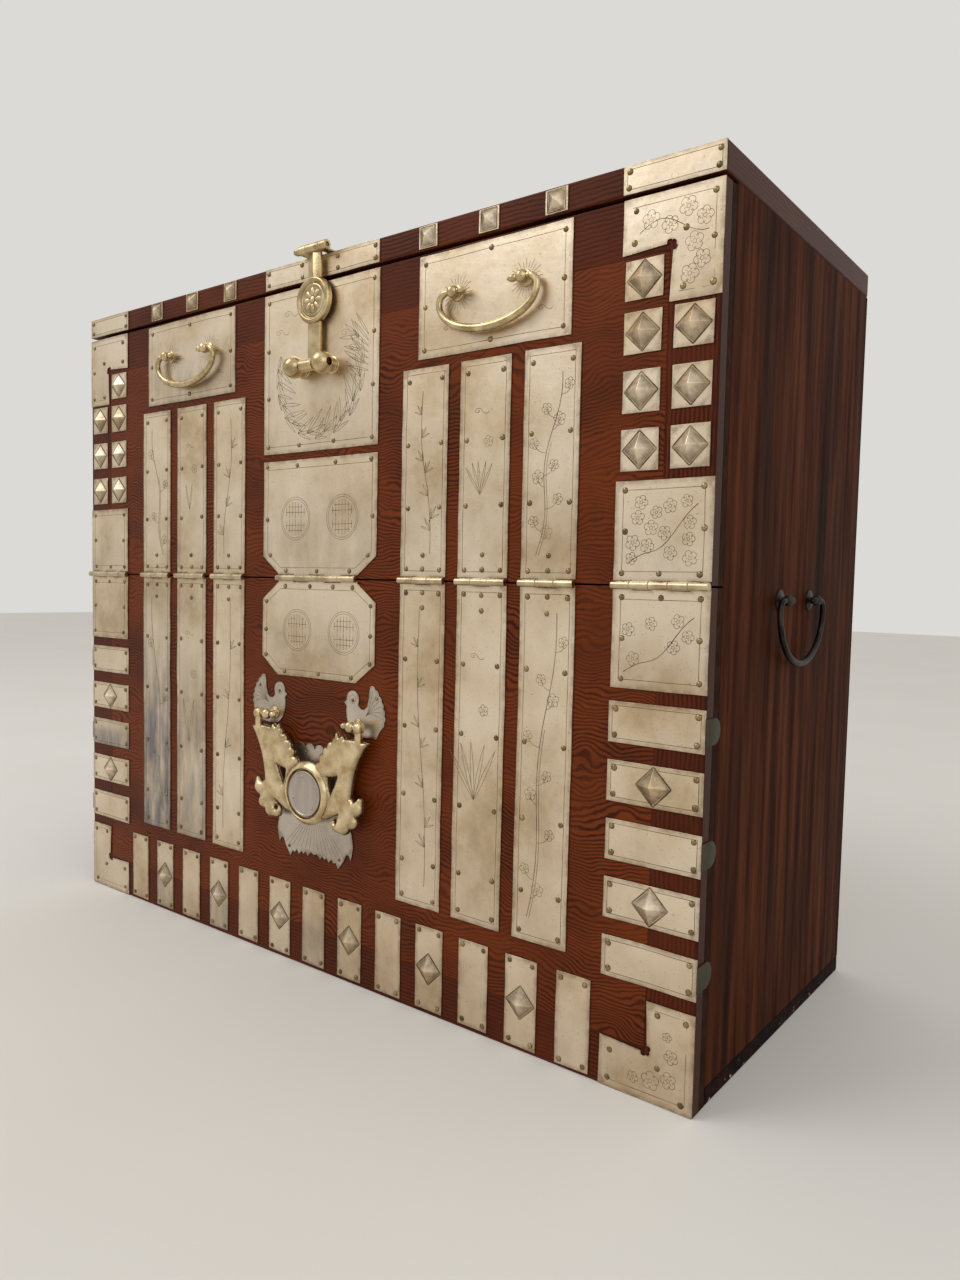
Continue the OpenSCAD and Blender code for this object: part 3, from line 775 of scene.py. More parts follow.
def ease(part: BMesh, edges: Sequence[BMEdge], width: float, segments: int = 2) -> None:
    """Round edges off by a width in millimetres."""
    bmesh.ops.bevel(part, geom=edges, offset=width * MM, offset_type="OFFSET", segments=segments,
                    profile=0.5, affect="EDGES", material=-1, clamp_overlap=True)


def turn_to_front(part: BMesh) -> None:
    """Make the faces of a thin plate look to the front."""
    if sum(face.normal.y for face in part.faces) > 0:
        bmesh.ops.reverse_faces(part, faces=part.faces)


def fresh(grown: Iterable[Any]) -> tuple[list[BMVert], list[BMEdge]]:
    """Pick out what an extrusion made.

    Args:
        grown: The geometry that it gave back.

    Returns:
        Its new vertices, and the edges that join two of them.
    """
    verts = [g for g in grown if isinstance(g, BMVert)]
    known = set(verts)
    return verts, [g for g in grown if isinstance(g, BMEdge) and known.issuperset(g.verts)]


def lathe(mesh: BMesh, profile: Sequence[Point], origin: Vector, axis: Vector,
          steps: int = 48, closed: bool = False) -> None:
    """Turn a profile round an axis.

    Args:
        mesh: The bmesh that gets the shape.
        profile: Radius and height of each point, in millimetres.
        origin: Where height 0 is, in millimetres.
        axis: The way that height grows.
        steps: Facets round the shape.
        closed: Whether the profile is a loop, as for a tube.
    """
    part = bmesh.new()
    verts = [part.verts.new(mm(r, 0, h)) for r, h in profile]
    pairs = list(zip(verts, verts[1:]))
    if closed:
        pairs.append((verts[-1], verts[0]))
    edges = [part.edges.new(pair) for pair in pairs]
    bmesh.ops.spin(part, geom=verts + edges, cent=(0, 0, 0), axis=(0, 0, 1),
                   angle=math.tau, steps=steps, use_merge=True)
    bmesh.ops.remove_doubles(part, verts=part.verts, dist=1e-7)
    bmesh.ops.recalc_face_normals(part, faces=part.faces)
    bmesh.ops.transform(part, matrix=facing(origin, axis), verts=part.verts)
    pour(mesh, part)


def tube(mesh: BMesh, mid: Vector, length: float, inner: float, outer: float,
         soft: float = 0.35) -> None:
    """Turn a tube along X with softened ends.

    Args:
        mesh: The bmesh that gets it.
        mid: Its middle, in millimetres.
        length: Its length.
        inner: The radius of its bore.
        outer: Its own radius.
        soft: How much its ends are rounded.
    """
    half = length / 2
    profile = [(inner, -half), (outer - soft, -half), (outer, soft - half),
               (outer, 2 * soft - half), (outer, half - 2 * soft), (outer, half - soft),
               (outer - soft, half), (inner, half)]
    lathe(mesh, profile, mid, TO_RIGHT, 32, closed=True)


def bored_ball(mesh: BMesh, mid: Vector, radius: float, bore: float, axis: Vector) -> None:
    """Turn a ball with a hole right through it.

    Args:
        mesh: The bmesh that gets it.
        mid: Its middle, in millimetres.
        radius: Its radius.
        bore: The radius of the hole.
        axis: The way that the hole runs.
    """
    reach = math.degrees(math.acos((bore + 0.4) / radius))
    rim = radius * math.sin(math.radians(reach)) - 0.3
    profile = [(bore, -rim), *arc((0, 0), radius, -reach, reach, 14), (bore, rim)]
    lathe(mesh, profile, mid, axis, 36, closed=True)


def sweep(mesh: BMesh, path: Sequence[Vector], radii: Sequence[float], sides: int = 20) -> None:
    """Draw a round rod along a path by extruding a circle from point to point.

    Args:
        mesh: The bmesh that gets the rod.
        path: Points in millimetres.
        radii: The rod's radius at each point, in millimetres.
        sides: Facets round the rod.
    """
    part = bmesh.new()
    last = len(path) - 1
    ahead = [(path[min(i + 1, last)] - path[max(i - 1, 0)]).normalized() for i in range(last + 1)]
    turn = ahead[0].to_track_quat("Z", "Y")
    stands = []
    for i, point in enumerate(path):
        if i:
            turn = ahead[i - 1].rotation_difference(ahead[i]) @ turn
        stands.append(Matrix.Translation(point * MM) @ turn.to_matrix().to_4x4()
                      @ Matrix.Scale(radii[i] * MM, 4))
    ring = bmesh.ops.create_circle(part, segments=sides, radius=1)["verts"]
    bmesh.ops.transform(part, matrix=stands[0], verts=ring)
    edges = part.edges[:]
    for before, after in zip(stands, stands[1:]):
        ring, edges = fresh(bmesh.ops.extrude_edge_only(part, edges=edges)["geom"])
        bmesh.ops.transform(part, matrix=after @ before.inverted(), verts=ring)
    bmesh.ops.holes_fill(part, edges=part.edges, sides=sides)
    bmesh.ops.recalc_face_normals(part, faces=part.faces)
    pour(mesh, part)


def grid_cut(part: BMesh, cell: float, axes: Iterable[Vector]) -> None:
    """Cut the faces by evenly spaced planes.

    Args:
        part: The bmesh that is cut.
        cell: How far apart the planes are, about.
        axes: What the planes stand across, one set for each.
    """
    for axis in axes:
        places = [vert.co.dot(axis) for vert in part.verts]
        low, high = min(places), max(places)
        count = max(1, round((high - low) / cell))
        for i in range(1, count):
            geometry = part.verts[:] + part.edges[:] + part.faces[:]
            bmesh.ops.bisect_plane(part, geom=geometry, dist=cell / 30, plane_no=axis,
                                   plane_co=axis * (low + (high - low) * i / count))


def prism(mesh: BMesh, outline: Sequence[Point], stand: Matrix, height: float,
          soft: float, segments: int = 2) -> None:
    """Extrude an outline along local +Z and round its edges.

    Args:
        mesh: The bmesh that gets the shape.
        outline: Points in millimetres on the local XY plane.
        stand: Where the local axes stand, from facing().
        height: Millimetres of extrusion.
        soft: The rounding of its edges, in millimetres.
        segments: Steps of that rounding.
    """
    part = bmesh.new()
    face = part.faces.new([part.verts.new(mm(x, y, 0)) for x, y in outline])
    top, _ = fresh(bmesh.ops.extrude_face_region(part, geom=[face])["geom"])
    bmesh.ops.translate(part, vec=mm(0, 0, height), verts=top)
    bmesh.ops.recalc_face_normals(part, faces=part.faces)
    ease(part, [e for e in part.edges if e.calc_face_angle(0) > 0.35], soft, segments)
    bmesh.ops.transform(part, matrix=stand, verts=part.verts)
    pour(mesh, part)


@dataclass(frozen=True)
class Cushion:
    """A casting with a flat back that swells from its outline like a cushion."""

    rim: float = 1.8
    swell: float = 4.2
    reach: float = 6.5
    cell: float = 1.6
    mound: float = 0.24

    def height(self, place: Vector, edges: Sequence[tuple[Vector, Vector]],
               lobes: Sequence[Lobe]) -> float:
        """Work out how thick the casting is at a place.

        Args:
            place: The place on its back.
            edges: The two ends of each edge of its outlines.
            lobes: X, Y and radius of the round lobes that stand out more.

        Returns:
            The thickness in millimetres.
        """
        near = self.reach
        for a, b in edges:
            way = b - a
            share = clamped((place - a).dot(way) / way.length_squared)
            near = min(near, (a + way * share - place).length)
        share = near / self.reach
        thick = self.rim + self.swell * math.sqrt(share * (2 - share))
        for x, y, radius in lobes:
            aside = math.dist((x, y), place[:2]) / radius
            thick += self.mound * radius * max(0.0, 1 - aside * aside)
        return thick

    def cast(self, mesh: BMesh, loops: Sequence[Sequence[Point]], lobes: Sequence[Lobe],
             stand: Matrix) -> None:
        """Cast it, and its mirror image about the local YZ plane.

        Args:
            mesh: The bmesh that gets both.
            loops: The outline and then its holes, on the local XY plane.
            lobes: X, Y and radius of the round lobes that stand out more.
            stand: Where the local axes stand, from facing().
        """
        part = bmesh.new()
        grime = part.verts.layers.float.new("grime")
        edges = []
        for loop in loops:
            verts = [part.verts.new((x, y, 0)) for x, y in loop]
            for pair in zip(verts, [*verts[1:], verts[0]]):
                part.edges.new(pair)
                edges.append((pair[0].co.copy(), pair[1].co.copy()))
        bmesh.ops.triangle_fill(part, use_beauty=True, edges=part.edges[:])
        grid_cut(part, self.cell, (TO_RIGHT, -TO_FRONT))
        top, _ = fresh(bmesh.ops.extrude_face_region(part, geom=part.faces[:])["geom"])
        for vert in top:
            vert.co.z = self.height(vert.co, edges, lobes)
            # Painted shade and a painted dark reflection, with some dirt: the layer darkens the
            # casting where it thins to its outline.
            vert[grime] = clamped(1 - (vert.co.z - self.rim) / self.swell)
        geometry = part.verts[:] + part.edges[:] + part.faces[:]
        bmesh.ops.mirror(part, geom=geometry, axis="X", merge_dist=-1.0)
        bmesh.ops.recalc_face_normals(part, faces=part.faces)
        bmesh.ops.transform(part, matrix=stand @ Matrix.Scale(MM, 4), verts=part.verts)
        pour(mesh, part)


@dataclass(frozen=True)
class Sheet:
    """Hand-cut sheet metal on the front: it wanders at its edges and is never quite flat."""

    cell: float = 9.0
    drift: float = 1.1
    waver: float = 0.5
    dent: float = 0.14
    lip: float = 0.3
    calm: float = 25.0

    def strayed(self, x: float, z: float) -> Point:
        """Find where a point of the drawn outline ends up on the hand-cut sheet.

        Args:
            x: Its X as drawn.
            z: Its Z as drawn.

        Returns:
            Its real X and Z, which are the drawn ones along the hinge line.
        """
        loose = clamped((abs(z - HINGE_LINE.z) - LEAF_GAP) / self.calm)
        far = Vector((x / WANDER_MM, 5, z / WANDER_MM))
        near = Vector((x / WAVER_MM, 25, z / WAVER_MM))
        aside = self.drift * noise.noise(far) + self.waver * noise.noise(near)
        up = self.drift * noise.noise(far.zyx) + self.waver * noise.noise(near.zyx)
        return (clamped(x + loose * aside, -CHEST.right, CHEST.right),
                clamped(z + loose * up, CHEST.low + 0.6, CHEST.high - 0.2))

    def on(self, x: float, z: float, proud: float = 0.0) -> Vector:
        """Give the point on the sheet's face for a point of the drawn outline.

        Args:
            x: Its X as drawn.
            z: Its Z as drawn.
            proud: How far in front of the face it lies.

        Returns:
            The point in metres.
        """
        u, v = self.strayed(x, z)
        broad, small = DENT_MM
        swell = self.dent * (noise.noise(Vector((x / broad, 3.1, z / broad)))
                             + 0.6 * noise.noise(Vector((x / small, 8.4, z / small))))
        return mm(u, SHEET_FRONT - proud + swell, v)

    def cut(self, mesh: BMesh, outline: Sequence[Point], tone: float = 0.0) -> None:
        """Cut a plate.

        Args:
            mesh: The bmesh that gets the plate.
            outline: Points of the drawn outline, X and Z in millimetres.
            tone: How much grey tarnish creeps up from its foot, from 0 to 1.
        """
        part = bmesh.new()
        part.faces.new([part.verts.new((x, 0, z)) for x, z in outline])
        grid_cut(part, self.cell, (TO_RIGHT, UP))
        rim = part.verts.layers.float.new("rim")
        shade = part.verts.layers.float.new("tone")
        low, high = min(v.co.z for v in part.verts), max(v.co.z for v in part.verts)
        for vert in part.verts:
            vert[rim] = 0.0 if vert.is_boundary else 1.0
            sunk = (high - vert.co.z) / (high - low)
            vert[shade] = tone * clamped(2 * sunk - 0.2, 0.2)
            vert.co = self.on(vert.co.x, vert.co.z)
        bmesh.ops.recalc_face_normals(part, faces=part.faces)
        turn_to_front(part)
        front = set(part.verts)
        bmesh.ops.solidify(part, geom=part.faces[:], thickness=SHEET_MM * MM)
        # The back edge of the cut sides gets rim -1, so that the sides go dark: dirt and painted
        # contact shadow where the plate meets the wood.
        for vert in part.verts:
            if vert not in front and vert[rim] < 0.5:
                vert[rim] = -1.0
        bmesh.ops.recalc_face_normals(part, faces=part.faces)
        ease(part, [e for e in part.edges if len(e.link_faces) == 2
                    and front.issuperset(e.verts) and e.calc_face_angle(0) > 0.9], self.lip)
        pour(mesh, part)


def pyramid(mesh: BMesh, foot: Vector, reach: float, height: float, turn: float) -> None:
    """Solder a small pyramid with worn edges on a plate.

    Args:
        mesh: The bmesh that gets it.
        foot: The middle of its base, in metres.
        reach: Millimetres from its middle to a corner.
        height: How far it stands out.
        turn: 0 puts its corners up, down and to the sides, and 45 turns it square.
    """
    part = bmesh.new()
    bmesh.ops.create_cone(part, cap_ends=True, segments=4, radius1=reach * MM, radius2=0,
                          depth=height * MM)
    bmesh.ops.translate(part, vec=mm(0, 0, height / 2), verts=part.verts)
    ease(part, part.edges[:], 0.5)
    wobble = 2 * noise.noise(foot * 100)
    spin = Matrix.Rotation(math.radians(turn + wobble), 4, "Z")
    bmesh.ops.transform(part, matrix=facing(foot / MM, TO_FRONT) @ spin, verts=part.verts)
    rim = part.verts.layers.float.new("rim")
    shaded_foot_rim, tip_rim = -0.55, 0.7  # painted shade and dirt at its foot, fading out towards its tip
    for vert in part.verts:
        risen = (vert.co - foot).dot(TO_FRONT) / (height * MM)
        vert[rim] = shaded_foot_rim + (tip_rim - shaded_foot_rim) * risen
    pour(mesh, part)


@dataclass
class Scriber:
    """A point that scribes fine lines into a plate."""

    sheet: Sheet
    mesh: BMesh
    width: float = 0.5
    fine: float = 0.4
    proud: float = 0.05

    def stroke(self, path: Sequence[Point], width: float = 0.0) -> None:
        """Scribe one line.

        Args:
            path: X and Z of its points, in millimetres.
            width: Its width in millimetres, or 0 for the usual one.
        """
        part = bmesh.new()
        flat = [Vector((x, z)) for x, z in path]
        last = len(flat) - 1
        ends, edge = (), None
        for i, point in enumerate(flat):
            ahead = (flat[min(i + 1, last)] - flat[max(i - 1, 0)]).normalized()
            side = Vector((ahead.y, -ahead.x)) * (width or self.width) / 2
            wanted = [self.sheet.on(*q, self.proud) for q in (point - side, point + side)]
            if edge is None:
                ends = [part.verts.new(w) for w in wanted]
                edge = part.edges.new(ends)
                continue
            tips, (edge, *_) = fresh(bmesh.ops.extrude_edge_only(part, edges=[edge])["geom"])
            ends = sorted(tips, key=lambda v: (v.co - ends[0].co).length)
            for vert, place in zip(ends, wanted):
                vert.co = place
        part.normal_update()
        turn_to_front(part)
        pour(self.mesh, part)

    def loop(self, path: Sequence[Point], step: float = 12.0, width: float = 0.0) -> None:
        """Scribe a closed line through corners, in steps of about that many millimetres."""
        for a, b in zip(path, [*path[1:], path[0]]):
            count = max(2, round(math.dist(a, b) / step))
            self.stroke([(a[0] + (b[0] - a[0]) * i / count, a[1] + (b[1] - a[1]) * i / count)
                         for i in range(count + 1)], width)

    def ring(self, centre: Point, radius: float, steps: int = 18) -> None:
        """Scribe a circle."""
        self.stroke(arc(centre, radius, 0, 360, steps), self.fine)

    def border(self, span: Span, inset: float) -> None:
        """Scribe a line along the four edges of a plate."""
        self.loop(span.inset(inset).corners)

    def blossom(self, centre: Point, radius: float, turn: float) -> None:
        """Scribe a plum blossom, turned by degrees: five petals, a heart and its stamens."""
        for k in range(5):
            out = turn + 90 + 72 * k
            mid, near, far = [spoke(centre, s * radius, out) for s in (0.56, 0.3, 0.55)]
            self.stroke(arc(mid, 0.44 * radius, out - 118, out + 118, 9), self.fine)
            self.stroke([near, far], 0.35)
        self.ring(centre, 0.22 * radius, 8)

    def leaf(self, root: Point, length: float, way: float, fat: float = 0.12) -> None:
        """Scribe a slender leaf.

        Args:
            root: Where it grows from.
            length: Its length.
            way: Where it points, in degrees.
            fat: Half its width, as a share of its length.
        """
        cos, sin = math.cos(math.radians(way)), math.sin(math.radians(way))
        for side in (-1, 1):
            pull = (root[0] + length * (0.45 * cos - side * fat * sin),
                    root[1] + length * (0.45 * sin + side * fat * cos))
            self.stroke(bow(root, pull, spoke(root, length, way), 6), self.fine)

    def spray(self, root: Point, length: float, ways: Iterable[float]) -> None:
        """Scribe a spray of leaves that share a root."""
        for i, way in enumerate(ways):
            self.leaf(root, length * (1 - 0.12 * (i % 3)), way)

    def clouds(self, centres: Iterable[Point], size: float) -> None:
        """Scribe small curled clouds with their tails.

        Args:
            centres: The middle of each curl.
            size: How wide they are, about.
        """
        curl = [(size * (1 - t / 14) * math.cos(t * 0.7),
                 size * 0.6 * (1 - t / 14) * math.sin(t * 0.7)) for t in range(13)]
        tail = bow((size, 0), (1.8 * size, -size), (2.6 * size, -0.2 * size), 6)
        for centre in centres:
            for line in (curl, tail):
                self.stroke(placed(line, centre), self.fine)

    def roundel(self, centre: Point, radius: float) -> None:
        """Scribe a round badge filled with a symmetrical lattice of plain bars.

        Args:
            centre: Its middle.
            radius: Its radius.
        """
        x, z = centre
        self.ring(centre, radius, 30)
        self.ring(centre, radius * 0.9, 28)
        for k in range(-3, 4):
            u = x + k * radius * 0.2
            reach = math.sqrt((0.78 * radius) ** 2 - (u - x) ** 2)
            gap = 0.14 * radius if k % 2 else 0.03 * radius
            for side in (-1, 1):
                self.stroke([(u, z + side * gap), (u, z + side * reach)])
        for k in (-0.55, -0.3, 0.3, 0.55):
            reach = radius * math.sqrt(0.78 ** 2 - k * k) * 0.9
            self.stroke([(x - reach, z + k * radius), (x + reach, z + k * radius)])


@dataclass
class Fitting:
    """The sheet plates of one area, with their nails and their scribed lines."""

    name: str
    body: str
    finishes: Finishes
    nodes: tuple[str, ...] = ()
    metal: str = "sheet"
    sheet: Sheet = Sheet()
    nail_r: float = 2.7
    nail_dome: float = 1.7
    jitter: float = 0.5
    lean: float = 0.08
    grime_mm: float = 1.25
    plates: BMesh = field(default_factory=bmesh.new)
    heads: BMesh = field(default_factory=bmesh.new)
    lines: BMesh = field(default_factory=bmesh.new)

    def __post_init__(self) -> None:
        """Take a scriber and dice of its own."""
        self.pen = Scriber(self.sheet, self.lines)
        self.dice = random.Random(self.name)

    def cut(self, outline: Sequence[Point], tone: float = 0.0) -> None:
        """Cut a plate of any outline."""
        self.sheet.cut(self.plates, outline, tone)

    def stud(self, x: float, z: float, reach: float, height: float = 8, turn: float = 0.0) -> None:
        """Solder a pyramid on a plate, in sizes as for pyramid(), and scribe a line round it."""
        pyramid(self.plates, self.sheet.on(x, z), reach, height, turn)
        self.pen.loop(arc((x, z), reach + 0.9, turn, turn + 270, 3), 5.0, 1.3)

    def nail(self, places: Iterable[Point], size: float = 1.0) -> None:
        """Drive domed nails, by hand and so never quite straight.

        Args:
            places: Where each is meant to go.
            size: How large they are beside the usual ones.
        """
        roll = self.dice.uniform
        for x, z in places:
            u, v = x + roll(-self.jitter, self.jitter), z + roll(-self.jitter, self.jitter)
            wide = self.nail_r * size * roll(0.93, 1.08)
            high = self.nail_dome * size * roll(0.85, 1.15)
            lean = Vector((roll(-self.lean, self.lean), -1, roll(-self.lean, self.lean)))
            dome = [(wide * math.cos(a), high * math.sin(a) - 0.25)
                    for a in (math.radians(18 * i) for i in range(5))]
            lathe(self.heads, [(0, -0.8), (wide * 0.97, -0.8), *dome, (0, high - 0.25)],
                  self.sheet.on(u, v) / MM, lean.normalized(), 12)

    def finish(self) -> None:
        """Turn the plates, the nails and the lines into pieces."""
        plates = piece(self.plates, f"{self.name}_plates", self.body, SHEET_SLOT,
                       self.finishes[self.metal], self.nodes or (self.name,))
        # Weighted normals keep the large flat faces even beside their rounded edges.
        plates.modifiers.new("weigh the normals", "WEIGHTED_NORMAL").keep_sharp = True
        if self.heads.faces:
            # Painted shadow and dirt round each nail: its head goes black where it meets the plate.
            grime = self.heads.verts.layers.float.new("grime")
            front = self.sheet.on(0, 0).y
            for vert in self.heads.verts:
                vert[grime] = clamped(1 - (front - vert.co.y) / (self.grime_mm * MM))
            piece(self.heads, f"{self.name}_nails", self.body, SHEET_SLOT, self.finishes["nail"])
        if self.lines.faces:
            piece(self.lines, f"{self.name}_scribing", self.body, SHEET_SLOT,
                  self.finishes["scribed"])


@dataclass
class Boards:
    """The boards of the carcass and of the door, as the CAD made them, with eased edges."""

    finishes: Finishes

    def dress(self, node: str, finish: str, ease_mm: float = 0.7) -> None:
        """Give a board its wood and ease its edges.

        Args:
            node: The board.
            finish: The short name of its wood.
            ease_mm: How much its edges are eased.
        """
        obj = clothe(node, self.finishes[finish])
        weld = obj.modifiers.new("merge the triangles", "WELD")
        weld.merge_threshold = 1e-5
        bevel = obj.modifiers.new("ease the edges", "BEVEL")
        bevel.width = ease_mm * MM
        bevel.segments = 2
        bevel.limit_method = "ANGLE"

    def make(self) -> None:
        """Dress every board."""
        for part, rail in (("door", "door_top_rail"), ("front", "front_bottom_rail")):
            self.dress(f"{part}_panel", "panel", 0.45)
            self.dress(f"{part}_backing", "inside")
            self.dress(rail, "rail", 0.45)
            for side in Side:
                self.dress(f"{part}_stile_{side.word}", "stile", 0.45)
        self.dress("lid_board", "lid", 1.6)
        for side in Side:
            self.dress(f"side_board_{side.word}", "side", 1.0)
        self.dress("back_boards", "inside")
        self.dress("bottom_board", "base", 1.4)


@dataclass(frozen=True)
class Hinge:
    """A butt hinge: two leaves of sheet whose edges are rolled into barrels by turns."""

    x: float
    wide: float
    barrels: int
    play: float = 0.25
    outer_r: float = 3.5
    bore_r: float = 1.55
    tab_gap: float = 0.8

    def mids(self, first: int) -> list[float]:
        """Give the middles of every other barrel, from the first."""
        pitch = self.wide / self.barrels
        return [self.x - self.wide / 2 + (i + 0.5) * pitch
                for i in range(first, self.barrels, 2)]

    @property
    def length(self) -> float:
        """The length of one barrel."""
        return self.wide / self.barrels - self.play

    def tabs(self, up: int) -> list[Point]:
        """Give the hinge edge of a leaf, with a tab behind each of its barrels.

        Args:
            up: 1 for the door's leaf above the hinge line, -1 for the fixed one below it.

        Returns:
            Points of the leaf's outline, from left to right above and back again below.
        """
        rest, tip = HINGE_LINE.z + up * LEAF_GAP, HINGE_LINE.z + up * self.tab_gap
        path = []
        for mid in self.mids(1 if up > 0 else 0):
            a, b = mid - self.length / 2, mid + self.length / 2
            path += [(a, rest), (a, tip), (b, tip), (b, rest)]
        return path if up > 0 else path[::-1][1:-1]

    def roll(self, mesh: BMesh, first: int) -> None:
        """Roll the barrels of one leaf."""
        for x in self.mids(first):
            tube(mesh, Vector((x, HINGE_LINE.y, HINGE_LINE.z)), self.length, self.bore_r,
                 self.outer_r)


@dataclass
class Plant:
    """A plant scribed in the room that a strap has, sparser on the worn left side."""

    pen: Scriber
    room: Span
    side: Side

    def stem(self, sway: Sequence[float], steps: int) -> list[Point]:
        """Draw a stem from its start, its lean, and how far and how often it sways."""
        start, lean, wide, turns = sway
        aside = [start + lean * t + wide * math.sin(turns * t) for t in shares(steps)]
        return [(self.room.mid_x + self.side.value * x, self.room.low + self.room.tall * t)
                for x, t in zip(aside, shares(steps))]

    def bamboo(self) -> None:
        """Scribe a stem of bamboo with its leaves."""
        stem = self.stem((9, -14, 3, 7), 14)
        self.pen.stroke(stem, 0.6)
        count = 7 if self.side is Side.RIGHT else 4
        for k in range(count):
            way, turn = (60, -1) if k % 2 else (122, 1)
            self.pen.spray(stem[2 + int(12 * k / count)], 15 - 0.6 * k,
                           (way, way + 38 * turn, way - 24 * turn))

    def orchid(self) -> None:
        """Scribe an orchid's leaves with a flower and a cloud above them."""
        x, low, tall = self.room.mid_x, self.room.low, self.room.tall
        for way in (64, 78, 95, 108, 124) if self.side is Side.RIGHT else (80, 104):
            self.pen.leaf((x - 4, low + 0.35 * tall), 0.2 * tall, way, 0.07)
        self.pen.blossom((x + 5, low + 0.66 * tall), 5.5, 12)
        self.pen.clouds([(x - 8, low + 0.84 * tall)], 5)

    def plum(self) -> None:
        """Scribe a plum branch with its blossoms."""
        x, trunk = self.room.mid_x, self.stem((-13, 22, 4, 9), 16)
        self.pen.stroke(trunk, 0.7)
        self.pen.stroke(placed(trunk[:11], (2.4, -1)), 0.5)
        count = 9 if self.side is Side.RIGHT else 4
        for k in range(count):
            root = trunk[1 + int(15 * k / count)]
            aside = (-1) ** k * (7 + 3 * (k % 3))
            tip = (x + clamped(root[0] + aside - x, -18.0, 18.0), root[1] + 9)
            self.pen.stroke(bow(root, (root[0] + aside * 0.8, root[1] + 1), tip, 5), 0.45)
            self.pen.blossom(tip, 5.2 if k % 3 else 6.3, 25 * k)


